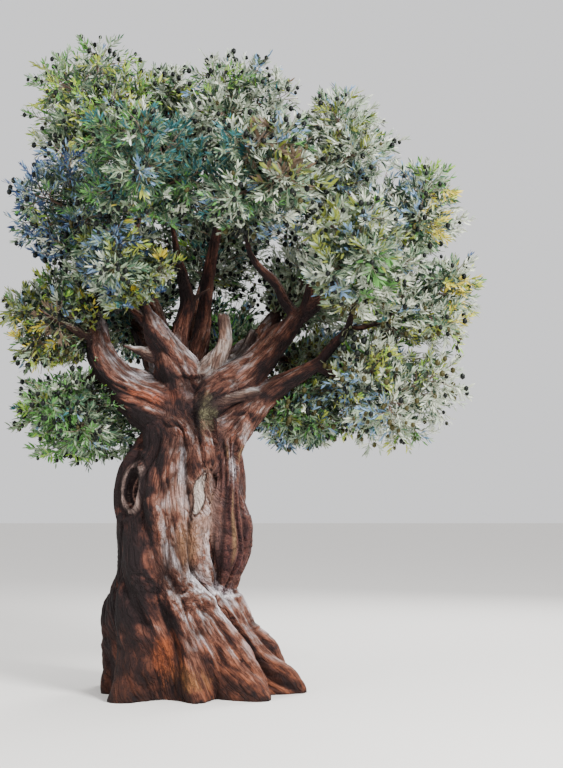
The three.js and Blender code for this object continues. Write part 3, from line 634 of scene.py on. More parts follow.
# The curves that fan out from each parent towards the outline of its space.
def fanOut(parents, ways, spaceMiddles, spaceRadii, left, draws, fan):
    count, lead = fan["count"], fan["lead"]
    step = np.arange(count) / (count - 1)
    ahead = mix(fan["ahead"], step)[None, :, None]
    ring = np.sqrt(1 - ahead**2)
    turn = (goldenAngle * np.arange(count) + fan["turnRange"] * draws[0])[..., None]
    side = np.stack([-ways[:, 1], ways[:, 0], np.zeros(len(ways))], 1)
    side = unit(np.where(np.linalg.norm(side, axis=1, keepdims=True) < 0.01, [[1.0, 0, 0]], side))
    up = np.cross(ways, side)
    way = ways[:, None] * ahead + side[:, None] * ring * np.cos(turn) + up[:, None] * ring * np.sin(turn)
    target = spaceMiddles[:, None] + way * spaceRadii[:, None] * mix(fan["reach"], draws[1])[..., None]
    start = curveAt(parents[:, :, None], 1 - fan["share"] * step)
    run = target - start
    length = np.linalg.norm(run, axis=2, keepdims=True)
    end = start + run * np.maximum(shortestTwig, 1 - left / length)
    # a twig leaves along its parent and then bends to its target
    onward = unit(parents[2] - parents[1])[:, None]
    bend = start + (end - start) * (0.5 - 0.5 * lead) + onward * lead * 0.5 * length
    return np.stack([start, bend, end]).reshape(3, -1, 3)


# Every stem, twig, branchlet and shoot, the mass of each, and the branchlet of each shoot
def grow():
    stems, ways, drawn, fan = [], [], [], fans["twigs"]
    for index, name in enumerate(massNames):
        bough, middle = bones[masses[name][0]], middles[index]
        start = bough["line"][-1]
        far = np.linalg.norm(middle - start)
        way = (middle - start) / far
        bend = start + bough["frames"][-1, 0] * far * stemBend
        stems.append([start, bend, middle + way * radii[index].mean() * stemPast])
        ways.append(way)
        # the seeds of the solids' own twigs
        drawn.append([sourceDraws(7919 * (index + 1) + 104729 * (i + 1), 2) for i in range(fan["count"])])
    stems, ways, drawn = np.moveaxis(stems, 1, 0), np.array(ways), np.moveaxis(drawn, 2, 0)
    left = (lastBladeShare * solidLeafShare * radii.mean(1))[:, None, None]
    twigs = fanOut(stems, ways, middles, radii, left, drawn, fan)
    every = np.arange(len(massNames))
    mass = np.repeat(every, fan["count"])

    # branchlets that turn back round the bough's end, where the twigs leave the mass open
    random = np.random.default_rng(2601)
    fan = fans["backs"]
    draws = random.random((2, len(every), fan["count"]))
    backs = fanOut(stems[::-1], -ways, middles, radii, fan["left"], draws, fan)
    backMass = np.repeat(every, fan["count"])
    joints = curveAt(twigs, closingFrom)
    for name, ends in closing.items():
        own = np.flatnonzero(mass == massNames.index(name))
        for end in np.array(ends):
            start = joints[own[np.argmin(np.linalg.norm(joints[own] - end, axis=1))]]
            bend = (start + end) / 2 + [0, 0, closingArch]
            backs = np.concatenate([backs, [[start], [bend], [end]]], 1)
            backMass = np.append(backMass, massNames.index(name))

    levels, owners = {"stems": stems, "twigs": twigs}, {"twigs": mass}
    for name, parentName in (("branchlets", "twigs"), ("shoots", "branchlets")):
        fan, parents, mass = fans[name], levels[parentName], owners[parentName]
        draws = random.random((2, len(mass), fan["count"]))
        ways = unit(parents[2] - parents[1])
        space = radii[mass] * fan["space"]
        curves = fanOut(parents, ways, curveAt(parents, spaceAt), space, fan["left"], draws, fan)
        parent = np.repeat(np.arange(len(mass)), fan["count"])
        mass = np.repeat(mass, fan["count"])
        if name == "branchlets":
            curves = np.concatenate([curves, backs], 1)
            mass = np.concatenate([mass, backMass])
        keep = keepsTo(curves[2], mass, twigEdge) & keepsTo(curveAt(curves, 0.5), mass, twigEdge)
        levels[name], owners[name] = curves[:, keep], mass[keep]
    return levels, owners, parent[keep]


levels, owners, branchletOf = grow()
print("branchlets", len(owners["branchlets"]), "shoots", len(owners["shoots"]))

# The stems carry on from the boughs' tips into the masses.
share = np.linspace(0, 1, 24)
for index, name in enumerate(massNames):
    bough = bones[masses[name][0]]
    line = curveAt(levels["stems"][:, index, None], share)
    line = np.vstack([line[0] - bough["frames"][-1, 0] * bough["radius"][-1] * 0.6, line])
    bones["stem_of_" + name] = boneOf(evenSteps(line, 24), mix((bough["radius"][-1], 0.016), share**0.8))

# Bark of an old olive, by the size of its parts in metres: how wide and how long each runs along the
# limb, its depth as a share of the limb's radius up to a most, and how much painted shade it takes in its
# furrows, below which height.
bark = {
    "twist": 0.55,  # radians over a metre
    "sway": {"most": 0.14, "size": 0.3, "drawnOut": 0.6},
    "flutes": {"across": 0.22, "along": 1.5, "share": 0.26, "most": 0.095, "dark": 0.45, "below": 0.35},
    "cords": {"across": 0.10, "along": 0.62, "share": 0.20, "most": 0.045, "dark": 0.45, "below": 0.40},
    "cracks": {"across": 0.045, "along": 0.20, "share": 0.12, "most": 0.014, "dark": 0.20, "below": 0.40},
    "burls": {"size": 0.17, "share": 0.26, "most": 0.075},
    "swells": {"size": 0.42, "share": 0.24, "most": 0.06},
}
# How the limbs' bark meets: how far from a limb it counts, over what distance one limb's gives way to
# the next one's, from what weight on, and how far the painted shade of a crotch reaches.
meeting = {"reach": 0.16, "trunkReach": 0.55, "over": 0.03, "least": 0.03, "crotchShade": 0.05}
# Broken ends: from how far before the end they are torn, how fine the splinters are and how long, and
# the share of that by which they are cut back
torn = {"limbs": ["stub_centre", "stub_right", "snag_left"], "before": 0.015, "fine": 2.2, "long": 0.11,
        "cut": 0.35}


# Where points lie on one limb: how far outside it, how far along, its radius there and the bearing.
def placeOn(points, bone):
    line, radius, steps, frames = bone["line"], bone["radius"], bone["steps"], bone["frames"]
    near = np.full(len(points), np.inf)
    at = np.zeros(len(points), int)
    for k in range(len(line)):
        gap = np.linalg.norm(points - line[k], axis=1) - radius[k]
        closer = gap < near
        near[closer] = gap[closer]
        at[closer] = k
    run = steps[at] + ((points - line[at]) * frames[at, 0]).sum(1)
    spot = np.interp(run, steps, np.arange(len(line)))
    low = np.minimum(spot.astype(int), len(line) - 2)
    share = (spot - low)[:, None]
    middle = line[low] * (1 - share) + line[low + 1] * share
    frame = frames[low] * (1 - share[..., None]) + frames[low + 1] * share[..., None]
    wide = radius[low] * (1 - share[:, 0]) + radius[low + 1] * share[:, 0]
    offset = points - middle
    bearing = np.arctan2((offset * frame[:, 2]).sum(1), (offset * frame[:, 1]).sum(1))
    return near, run, wide, bearing, frame[:, 0]


# The most that a part of the bark stands out on a limb so wide.
def mostOf(part, wide):
    return np.minimum(part["share"] * wide, part["most"])


# How far the bark stands out there, how much painted shade it takes for lying in a furrow, and its place in
# the grain.
def barkAt(run, wide, bearing, seed):
    turn = bearing + bark["twist"] * run
    c, s = np.cos(turn) * wide, np.sin(turn) * wide
    sway = bark["sway"]
    at = np.stack([c, s, run * sway["drawnOut"]], 1) / sway["size"]
    moved = sway["most"] * (noiseAt(at + seed * 5.1, 3) - 0.5)
    c, s = c + moved, s - moved
    out, furrowShade = 0, 0
    for k, kind in enumerate(("flutes", "cords", "cracks")):
        part = bark[kind]
        at = np.stack([c / part["across"], s / part["across"], run / part["along"]], 1)
        raised = cordsAt(at + seed * 7.3 + k * 31.7, 11 + k)
        out = out + (raised - 0.5) * mostOf(part, wide)
        furrowShade = furrowShade + part["dark"] * np.clip(1 - raised / part["below"], 0, 1)
    at = np.stack([c, s, run * 0.7], 1)
    burls = noiseAt(at / bark["burls"]["size"] + seed * 3.1, 5)
    swells = noiseAt(at / bark["swells"]["size"] + seed * 4.7, 6)
    out = out + np.clip(burls - 0.6, 0, 1) / 0.4 * mostOf(bark["burls"], wide)
    out = out + (swells - 0.5) * mostOf(bark["swells"], wide)
    return out, furrowShade, np.stack([c, s, run], 1)


# How near points lie to the place where two limbs meet, from 0 to 1.
def atMeeting(best, second, distance):
    return np.exp(-np.clip(second - best, 0, 1) / distance)


# For points on the skin: their places on each limb near them, the gaps to the nearest one and to the
# next, and the nearest one's name.
def nearLimbs(points):
    found = []
    for name, bone in bones.items():
        reach = bone["radius"].max() + meeting["trunkReach" if name == "trunk" else "reach"]
        low, high = bone["line"].min(0) - reach, bone["line"].max(0) + reach
        here = np.flatnonzero(np.all((points > low) & (points < high), axis=1))
        if len(here):
            found.append((name, here, *placeOn(points[here], bone)))
    best = np.full(len(points), np.inf)
    second = np.full(len(points), np.inf)
    owner = np.zeros(len(points), int)
    for index, (name, here, near, *_) in enumerate(found):
        closer = near < best[here]
        second[here] = np.minimum(second[here], np.where(closer, best[here], near))
        owner[here[closer]] = index
        best[here] = np.minimum(best[here], near)
    return found, best, second, np.array([entry[0] for entry in found])[owner]


# The bark of the skin's points, from all limbs that they lie near.
def barkOver(points):
    found, best, second, owner = nearLimbs(points)
    total, out, furrowShade = np.zeros((3, len(points)))
    grain, ends = np.zeros((2, len(points), 3))
    for index, (name, here, near, run, wide, bearing, tangent) in enumerate(found):
        weight = np.exp(-(near - best[here]) / meeting["over"])
        used = weight > meeting["least"]
        here, run, wide, bearing, weight = (a[used] for a in (here, run, wide, bearing, weight))
        standsOut, furrowed, inGrain = barkAt(run, wide, bearing, index + 1)
        total[here] += weight
        out[here] += weight * standsOut
        furrowShade[here] += weight * furrowed
        mine = owner[here] == name
        grain[here[mine]] = inGrain[mine]
        if name in torn["limbs"]:
            end = mine & (run > bones[name]["steps"][-1] - torn["before"])
            spikes = noiseAt(np.stack([bearing * torn["fine"], run * 0, run * 0], 1) + 9.3, 17)
            ends[here[end]] = tangent[used][end] * ((spikes - torn["cut"]) * torn["long"])[end][:, None]
    return {"out": out / total, "furrowShade": furrowShade / total, "grain": grain, "ends": ends, "owner": owner,
            "crotchShade": atMeeting(best, second, meeting["crotchShade"])}


# The scar of a lost limb, a bowl on the trunk's left, measured in radii from its middle
scar = {
    "middle": [-0.462, -0.212, 1.605],
    "facing": [-0.66, -0.75, 0.05],
    "radius": 0.092,
    "tall": 1.6,  # its height over its width
    "ragged": 0.3,
    "lips": [[1.22, 0.24, 0.042], [1.85, 0.16, 0.012]],  # where each is, how wide and how high
    "bowl": [1.05, 0.6, 0.065],  # where it starts, over what it falls and how deep
    "rings": [19, 0.011],  # how close the growth rings in it are and how deep
}
# The slit in the bark of the trunk's front, where bare wood shows, in half widths from its middle
slit = {"middle": [0.04, 1.56], "width": 0.075, "height": 0.36, "lean": 0.2, "wavy": [0.014, 4.2],
        "ragged": 0.7, "depth": 0.035, "lip": [1.6, 0.4, 0.018]}
# The cleft between the two stems, down the trunk's front
cleft = {"top": [-0.02, 2.40], "foot": [0.0, 1.98], "width": 0.11, "depth": 0.07}
# The dead cord's strings: how many go round, how short they are, how deep, and how much of the bark's own
# relief they take away
deadWood = {"strings": 3.6, "along": 1.5, "depth": 0.045, "calm": 0.7}


# How far from the scar's middle, where 1 is its rim; far away on the trunk's other sides.
def scarOffset(points):
    middle, facing = np.array(scar["middle"]), unit(np.array(scar["facing"]))
    up = unit(np.array([0, 0, 1.0]) - facing * facing[2])
    off = points - middle
    across, along = off @ np.cross(facing, up), off @ up / scar["tall"]
    ragged = 1 + scar["ragged"] * (noiseAt(points * 9, 33) - 0.5)
    return np.where(np.abs(off @ facing) < 0.25, np.hypot(across, along) / scar["radius"] * ragged, 9)


# How far from the slit's middle line, where 1 is its edge; far away elsewhere.
def slitOffset(points):
    x, z = points[:, 0] - slit["middle"][0], points[:, 2] - slit["middle"][1]
    c, s = math.cos(slit["lean"]), math.sin(slit["lean"])
    along = (x * s + z * c) / (slit["height"] / 2)
    wave, turns = slit["wavy"]
    across = (x * c - z * s + wave * np.sin(along * turns)) / (slit["width"] / 2)
    ragged = slit["ragged"] * (noiseAt(points * [26, 26, 9], 34) - 0.5)
    return np.where(points[:, 1] < -0.1, np.abs(across) + along**2 + ragged, 9)


# How deep in the cleft points lie, from 0 to 1; its foot is narrow and shallow.
def cleftShare(points):
    (topX, topZ), (footX, footZ) = cleft["top"], cleft["foot"]
    share = np.clip((points[:, 2] - footZ) / (topZ - footZ), 0, 1)
    off = np.abs(points[:, 0] - mix((footX, topX), share)) / (cleft["width"] * (0.15 + 0.85 * share))
    inside = (points[:, 1] < -0.05) & (points[:, 2] > footZ - 0.02) & (points[:, 2] < 2.5)
    return np.where(inside, np.clip(1 - off, 0, 1) * (0.35 + 0.65 * share), 0)


# The dead cord's share of a point, and its stringy relief from 0 to 1.
def cordShare(points):
    low, high = trunk["deadCord"][0][0] * mm, trunk["deadCord"][-1][0] * mm
    x, y, radius = (tableAt(trunk["deadCord"], points[:, 2] / mm) * mm).T
    off = np.hypot(points[:, 0] - x, points[:, 1] - y) - radius
    ends = np.clip((points[:, 2] - low) / 0.1, 0, 1) * np.clip((high - points[:, 2]) / 0.1, 0, 1)
    bearing = np.arctan2(points[:, 1] - y, points[:, 0] - x)
    around, along = deadWood["strings"], deadWood["along"]
    at = np.stack([np.cos(bearing) * around, np.sin(bearing) * around, points[:, 2] * along], 1)
    share = np.clip(2.0 - np.abs(off) / 0.05, 0, 1) * ends * np.clip(points[:, 0] / 0.04 - 3, 0, 1)
    return share, cordsAt(at, 41)


# One property of all points, edges or corners of a mesh
def meshArray(collection, name, width):
    values = np.zeros(len(collection) * width, np.float32 if name in ("co", "vector") else np.int32)
    collection.foreach_get(name, values)
    return values.reshape(-1, width) if width > 1 else values


def pointsOf(mesh):
    return meshArray(mesh.vertices, "co", 3).astype(float)


def normalsOf(mesh):
    return meshArray(mesh.vertex_normals, "vector", 3).astype(float)


def movePoints(mesh, points):
    mesh.vertices.foreach_set("co", points.astype(np.float32).ravel())
    mesh.update()


# The mesh with one modifier applied.
def withModifier(mesh, kind, **settings):
    piece = addObject("work", mesh)
    modifier = piece.modifiers.new("step", kind)
    for name, value in settings.items():
        setattr(modifier, name, value)
    depsgraph = bpy.context.evaluated_depsgraph_get()
    result = bpy.data.meshes.new_from_object(piece.evaluated_get(depsgraph))
    bpy.data.objects.remove(piece)
    return result


# Draws points towards their neighbours' middle, as far as the weight of each.
def relax(points, edges, weights, rounds):
    a, b = edges.T
    count = np.maximum(np.bincount(a, minlength=len(points)) + np.bincount(b, minlength=len(points)), 1)
    for _ in range(rounds):
        middle = np.stack([
            np.bincount(a, points[b, k], len(points)) + np.bincount(b, points[a, k], len(points))
            for k in range(3)
        ], 1) / count[:, None]
        points = points + (middle - points) * weights[:, None]
    return points


# The skin of the wood: the size of its first grid, how it is drawn smooth on a limb and how much more
# where two meet, within what distance, in how many rounds, and the share of its faces that stays.
skinOf = {"grid": 0.0098, "smooth": 0.12, "smoother": 0.38, "over": 0.06, "rounds": 12, "kept": 0.5}

shells = [trunkShell(90, 120), deadCordShell(40, 20)]  # by rings and sides
shells += [limbShell(bone) for name, bone in bones.items() if name != "trunk"]
start = addMesh("start", *joined(shells), None)
skin = withModifier(start.data, "REMESH", mode="VOXEL", voxel_size=skinOf["grid"])
bpy.data.objects.remove(start)
points = pointsOf(skin)
_, best, second, _ = nearLimbs(points)
weights = skinOf["smooth"] + skinOf["smoother"] * atMeeting(best, second, skinOf["over"])
points = relax(points, meshArray(skin.edges, "vertices", 2), weights, skinOf["rounds"])
movePoints(skin, points)
print("skin of the wood:", len(points), "points")

relief = barkOver(points)
away = scarOffset(points)
out = relief["out"] * np.clip((away - 1.1) / 0.7, 0.25, 1)
for middle, width, height in scar["lips"]:
    out = out + height * bell(away, middle, width)
edge, fall, depth = scar["bowl"]
closeness, ringDepth = scar["rings"]
out = out - depth * np.clip((edge - away) / fall, 0, 1) + ringDepth * np.cos(away * closeness) * (away < 1)
slitIn = slitOffset(points)
middle, width, height = slit["lip"]
out = out - slit["depth"] * np.clip(1.5 * (1.15 - slitIn), 0, 1) + height * bell(slitIn, middle, width)
out = out - cleft["depth"] * cleftShare(points)
onCord, strings = cordShare(points)
out = out * (1 - deadWood["calm"] * onCord) + onCord * (strings - 0.5) * deadWood["depth"]
onGround = points[:, 2] < 0.008  # the foot stays on the ground
points = points + normalsOf(skin) * out[:, None] + relief["ends"]
points[:, 2] = np.where(onGround, 0, np.maximum(points[:, 2], 0))
movePoints(skin, points)
skin = withModifier(skin, "TRIANGULATE")
skin = withModifier(skin, "DECIMATE", ratio=skinOf["kept"])
points = pointsOf(skin)
points[:, 2] = np.maximum(points[:, 2], 0)
movePoints(skin, points)
normals = normalsOf(skin)
corners = meshArray(skin.loops, "vertex_index", 1).reshape(-1, 3)
print("skin with its bark:", len(points), "points", len(corners), "triangles")

relief = barkOver(points)
owner = relief["owner"]
away, slitIn = scarOffset(points), slitOffset(points)
onCord, strings = cordShare(points)
foot = np.clip(1.2 - points[:, 2] / 0.5, 0, 1)  # from 1 at 0.1 m to 0 at 0.6 m

# Places on the side that faces the viewer that are made paler or darker: middle x and z, half width and half
# height in metres, and how much paler. The dark ones down the trunk's left are painted shade, the three
# narrow ones up the right from 1.8 m are a painted highlight, the big pale one low on the right is bleached
# bark and painted light, and the rest are bleached bark.
shades = [
    [(-0.54, 0.85), (0.26, 0.95), -0.44],
    [(-0.08, 1.42), (0.24, 0.50), 0.14],
    [(-0.42, 1.75), (0.18, 0.50), -0.34],
    [(-0.10, 1.80), (0.12, 0.16), 0.34],
    [(-0.20, 1.06), (0.10, 0.28), 0.30],
    [(0.14, 0.82), (0.24, 0.28), 0.46],
    [(0.10, 1.36), (0.11, 0.40), 0.20],
    [(0.60, 2.24), (0.16, 0.07), 0.40],
    [(0.42, 2.02), (0.07, 0.14), 0.40],
    [(0.31, 1.80), (0.05, 0.16), 0.40],
]
# Places there with a colour of their own: the same, with the colour and its share.
tints = [
    [(-0.08, 1.45), (0.22, 0.46), "#94705E", 0.35],
    [(-0.04, 1.14), (0.10, 0.22), "#7C5634", 0.45],
    [(0.12, 1.44), (0.10, 0.34), "#98796A", 0.40],
    [(0.10, 2.20), (0.10, 0.20), "#6E6A50", 0.55],
    [(0.02, 0.16), (0.20, 0.12), "#9A6A3E", 0.40],
    [(-0.18, 0.34), (0.12, 0.24), "#8E4A2A", 0.55],
    [(-0.30, 2.35), (0.30, 0.10), "#94492A", 0.40],
]


# How much points lie in such a place and face the viewer.
def facingShare(middle, size):
    off = ((points[:, 0] - middle[0]) / size[0]) ** 2 + ((points[:, 2] - middle[1]) / size[1]) ** 2
    return np.exp(-(off**1.5)) * np.clip(0.5 - 1.5 * normals[:, 1], 0, 1)


# Plain colours over the bark's own, each by its share of a point and over the ones before it
layers = [(colour, share * facingShare(middle, size)) for middle, size, colour, share in tints]
lipWorn = np.clip(2.6 * noiseAt(points * 16, 35) - 0.65, 0.12, 1)
slitGrain = 0.45 + 0.55 * np.clip(2.4 * noiseAt(points * [70, 70, 8], 36) - 0.6, 0, 1)
layers += [
    # the dead cord, and its strings paler on their raised tops, weathered wood with a painted highlight
    ("#3A2023", onCord * 0.45),
    ("#8A6C4A", onCord * np.clip((strings - 0.8) / 0.15, 0, 1) * 0.45),
    # the scar's worn lip, painted shade in its bowl with growth rings over it, and painted shade in the
    # crease round the lip
    ("#8C766E", bell(away, 1.25, 0.17) * 0.70 * lipWorn),
    ("#180A0B", np.clip((1.0 - away) / 0.15, 0, 1)),
    ("#8A665A", np.where(away < 0.85, np.clip(np.cos(away * closeness) * 1.4, 0, 1) * 0.8, 0)),
    ("#1C0C0D", bell(away, 1.62, 0.12) * 0.9),
    # painted shade along the slit's edge, and the bare wood in it
    ("#1E0D0E", bell(slitIn, 1.25, 0.2)),
    ("#D0C3B8", np.clip((1.05 - slitIn) / 0.15, 0, 1) * slitGrain),
]
tint, tinted = np.zeros((len(points), 3)), np.zeros(len(points))
for colour, share in layers:
    share = np.clip(share, 0, 1)
    under = tinted * (1 - share)
    total = np.maximum(under + share, 1e-6)
    tint = (tint * under[:, None] + np.array(linear(colour)[:3]) * share[:, None]) / total[:, None]
    tinted = under + share

# How pale the bark is: painted light makes it paler on top and on the right, and painted shade darker below
# and on the left; random tone, the places above, a darker bare twig and a darker foot are laid over that.
bleachAndLight = (
    0.33 + 0.18 * normals[:, 0] + 0.52 * np.clip(normals[:, 2], -0.7, 1)
    + 0.45 * (noiseAt(points * 2.7, 21) - 0.5)
)
for middle, size, amount in shades:
    bleachAndLight = bleachAndLight + amount * facingShare(middle, size)
bleachAndLight = bleachAndLight - 0.30 * (owner == "twig_left_bare") - 0.34 * foot

# painted shade in the bark's furrows and in the grooves between the dead cord's strings
furrowShade = relief["furrowShade"] * 1.5 * (1 - onCord) + onCord * np.clip(1 - strings / 0.45, 0, 1)
# painted shade in the crotches where limbs meet, above 1.9 m, and down the cleft
crotchShade = relief["crotchShade"] * (points[:, 2] > 1.9) * (normals[:, 2] > -0.4) + cleftShare(points)
attributes = {
    "furrowShade": np.clip(furrowShade, 0, 1),
    "bleachAndLight": np.clip(bleachAndLight, 0, 1),
    "crotchShade": np.clip(crotchShade, 0, 1),
    "foot": foot,
    "grain": relief["grain"],
    "tint": tint,
    "tinted": tinted,
}

# A face where two limbs meet has points of its own, with the grain of one limb alone.
seams = np.flatnonzero(np.any(owner[corners] != owner[corners[:, :1]], axis=1))
doubled = corners[seams].ravel()
leading = np.repeat(corners[seams, 0], 3)
sameLimb = (owner[doubled] == owner[leading])[:, None]
added = {key: values[doubled] for key, values in attributes.items()}
added["grain"] = np.where(sameLimb, added["grain"], attributes["grain"][leading])
attributes = {key: np.concatenate([values, added[key]]) for key, values in attributes.items()}
corners[seams] = len(points) + np.arange(len(doubled)).reshape(-1, 3)
owner = np.concatenate([owner, owner[leading]])
points = np.vstack([points, points[doubled]])
normals = np.vstack([normals, normals[doubled]])

# The bark's pattern, over the grain in metres where it runs along a limb
barkPattern = {
    "streaks": (50, 50, 11),  # 20 mm across and 90 mm along
    "fissures": (115, 115, 9),  # 9 mm across and 110 mm along
    "plates": 0.66,  # over the streaks' grain: 30 mm across and 130 mm long
    "wander": 1.5,  # how far the plates' edges wander, in streaks
    "blotches": 7.5,  # 130 mm across
    "flecks": 70,  # 14 mm across
    "relief": 0.014,  # the cracks are 10 mm deep, with grit between them
    # how much each of them moves the tone about a place's own
    "swing": {"streaks": 0.45, "blotches": 0.9, "plates": 0.24, "flecks": 0.8},
}


def buildBark(name, colours):
    material = newMaterial(name, {"Roughness": 0.88, "Specular IOR Level": 0.25})
    add = partial(addNode, material)
    bleachAndLight, furrowShade, foot, crotchShade, tinted = (
        add("attribute", attribute_name=key) for key in ("bleachAndLight", "furrowShade", "foot", "crotchShade", "tinted"))
    grain = add("attribute", attribute_name="grain", output="Vector")
    tint = add("attribute", attribute_name="tint", output="Color")
    where = add("position")
    along = add("mapping", grain, barkPattern["streaks"])
    streaks = add("noise", along, 1, 4)
    blotches = add("noise", where, barkPattern["blotches"], 3)
    flecks = add("noise", where, barkPattern["flecks"], 3)
    wander = add("vectorTimes", add("noise", along, 0.9, 3, output="Color"), barkPattern["wander"])
    wandering = add("vectorPlus", along, wander)
    fissures = add("noise", add("mapping", grain, barkPattern["fissures"]), 1, 3)
    fissures = add("minus", 1.0, add("range", fissures, 0.36, 0.46))

    # the tone swings about a place's paleness, which holds its painted light and shade: streaks, blotches,
    # and plates with a tone of their own
    plates = add("firstChannel", add("cells", wandering, barkPattern["plates"]))
    about = [add("product", add("difference", value, 0.5), amount)
             for value, amount in zip((streaks, blotches, plates, flecks), barkPattern["swing"].values())]
    swing = add("sum", add("sum", about[0], about[1]), about[2])
    colour = add("ramp", add("plus", bleachAndLight, swing))
    stops = colour.node.color_ramp.elements
    while len(stops) < len(colours["ramp"]):
        stops.new(0.5)
    for stop, (at, hexValue) in zip(stops, colours["ramp"]):
        stop.position = at
        stop.color = linear(hexValue)
    rust = add("times", foot, add("range", swing, -0.25, 0.25))
    rust = add("times", rust, add("plus", 0.35, add("range", bleachAndLight, 0.1, 0.45)))
    colour = add("blend", add("times", rust, 0.8), colour, linear(colours["rust"]))
    glow = add("times", add("range", blotches, 0.56, 0.70), add("range", bleachAndLight, 0.12, 0.4))
    colour = add("blend", add("times", glow, 0.45), colour, linear(colours["glow"]))
    # the tints lie in dry streaks
    dry = add("plus", add("sum", add("product", tinted, 1.5), swing), about[3])
    share = add("times", add("range", dry, 0.35, 0.95), add("range", tinted, 0.02, 0.2))
    colour = add("blend", share, colour, tint)
    # painted shade in the furrows
    colour = add("blend", add("times", furrowShade, 0.9), colour, linear(colours["furrowShade"]))
    # cracks between the plates and the fine fissures, darkened with painted shade, less where the bark is
    # pale
    cracks = add("cellEdges", wandering, barkPattern["plates"])
    cracked = add("minus", 1.0, add("range", cracks, 0.02, 0.16))
    cracked = add("times", cracked, add("range", flecks, 0.35, 0.6))
    cracked = add("times", cracked, add("minus", 0.8, add("times", bleachAndLight, 0.5)))
    cracked = add("larger", cracked, add("times", fissures, 0.55))
    colour = add("blend", cracked, colour, linear(colours["furrowShade"]))
    # painted shade in the crotches and the cleft
    colour = add("blend", add("times", crotchShade, 0.7), colour, linear(colours["crotchShade"]))
    heights = add("sum", add("range", cracks, 0, 0.25), add("product", streaks, 1.3))
    heights = add("sum", heights, add("times", flecks, 0.5))
    heights = add("difference", heights, add("times", fissures, 0.4))
    shader = material.node_tree.nodes["Principled BSDF"]
    feed(shader.inputs["Base Color"], colour)
    feed(shader.inputs["Normal"], add("bump", heights, barkPattern["relief"], 1.0))
    return material


# Olive bark, grown, furrowed and weathered: dull, never shiny, plum in the painted shade of its furrows and
# crotches, red-brown on the cords, mauve-grey to white where it is bleached and under painted light, dark
# plum under painted shade, rust at the foot.
barkMaterial = buildBark("weathered olive bark", {
    "ramp": [(0.0, "#140A0B"), (0.18, "#2E1A18"), (0.36, "#5A3529"), (0.54, "#7B5344"), (0.70, "#94807A"),
             (0.86, "#BDB2B4"), (1.0, "#DDD8DC")],
    "rust": "#8C4E2E",
    "glow": "#8A4426",
    "furrowShade": "#160A0B",
    "crotchShade": "#180D0F",
})
# Bare dead wood, bleached by weather: brown in painted shade below, grey-pink to white above under painted
# light and bleaching, with a silvery grain
bareMaterial = buildBark("weathered bare olive wood", {
    "ramp": [(0.0, "#2E1E1C"), (0.22, "#5A4238"), (0.42, "#84695C"), (0.60, "#AB9A90"), (0.80, "#CFC6C2"),
             (1.0, "#E8E4E2")],
    "rust": "#8C4E2E",
    "glow": "#8E6044",
    "furrowShade": "#2A1A18",
    "crotchShade": "#180D0F",
})


# One piece of the skin: the faces that belong to some of the limbs.
def skinPiece(name, mine, material):
    faces = corners[mine]
    used, indices = np.unique(faces, return_inverse=True)
    piece = addMesh(name, points[used], indices.reshape(-1, 3), material)
    piece.data.normals_split_custom_set_from_vertices(normals[used])
    for key, values in attributes.items():
        kind = "FLOAT" if values.ndim == 1 else "FLOAT_VECTOR"
        attribute = piece.data.attributes.new(key, kind, "POINT")
        attribute.data.foreach_set(
            "value" if kind == "FLOAT" else "vector", values[used].astype(np.float32).ravel())
    print(name, "triangles", len(faces))
    return piece


faceOwner = owner[corners[:, 0]]
isTrunk = np.isin(faceOwner, ["trunk", "stem_left"])
isBare = np.isin(faceOwner, bareLimbs)
barkLimbs = [name for name in limbs if name not in bareLimbs and name != "stem_left"]
place(skinPiece("trunkBark", isTrunk, barkMaterial), "bark", "trunk")
place(skinPiece("boughs", ~isTrunk & ~isBare, barkMaterial), "bark", *barkLimbs)
place(skinPiece("bareWood", isBare, bareMaterial), "bare_wood", *bareLimbs)


# Two directions across each tangent, at right angles to it and to each other
def acrossFrom(tangents, steep):
    side = unit(np.cross(tangents, np.where(steep, [1.0, 0, 0], [0, 0, 1.0])))
    return side, np.cross(tangents, side)


# Many small tubes along curves, open at the foot, all with the same sides and rows.
def manyTubes(curves, footRadius, tipRadius, sides, rows):
    count = curves.shape[1]
    share = np.linspace(0, 1, rows)
    lines = np.stack([curveAt(curves, s) for s in share], 1)
    tangents = unit(np.gradient(lines, axis=1))
    side, up = acrossFrom(tangents, np.abs(tangents[:, :1, 2:3]) > 0.9)
    radius = mix((footRadius, tipRadius), share)[None, :, None, None]
    angle = np.arange(sides) * 2 * math.pi / sides
    rings = lines[:, :, None] + radius * (
        side[:, :, None] * np.cos(angle)[:, None] + up[:, :, None] * np.sin(angle)[:, None])
    fan = np.arange(1, sides - 1)
    last = (rows - 1) * sides
    cap = np.stack([np.full(sides - 2, last), last + fan, last + fan + 1], 1)
    return rings.reshape(-1, 3), repeated(np.vstack([grid(rows, sides), cap]), count, rows * sides)


# Leaves in opposite pairs along a shoot, each pair a quarter turn from the last, in metres
leaf = {
    "pairs": 8,
    "along": (0.1, 0.98),  # shares of the shoot, of the first pair and the last
    "length": 0.077,
    "width": 0.0175,
    "lengths": (0.78, 0.4),  # the shortest one's share, and how much more the longest one has
    "widths": (0.85, 0.3),
    "shorterAtTip": 0.3,
    "angleAtFoot": math.radians(58),
    "angleAtTip": math.radians(24),
    "leans": 0.35,  # how much the angles differ
    "lift": 0.10,  # how much the leaves rise to the light
    "roll": 0.6,
    "twist": 0.7,
    "droop": 0.10,
    "dropped": 0.05,
    "thinned": [0.62, 2, 0.5],  # leaves missing inside a mass: from what depth on, how fast, at most
    # Dark leaves deep inside a mass stand for painted shade as well as for old leaves.
    "old": [0.78, 1.6, 0.75],  # dark old leaves inside a mass: the same
    "turnedOver": 0.10,  # leaves that show their pale underside
    "nextTone": 0.30,  # leaves in a spray of the tone beside its own
    "strays": 0.22,  # shoots with another one's colour
    "offWood": 0.02,
    "offBunch": 0.07,
}

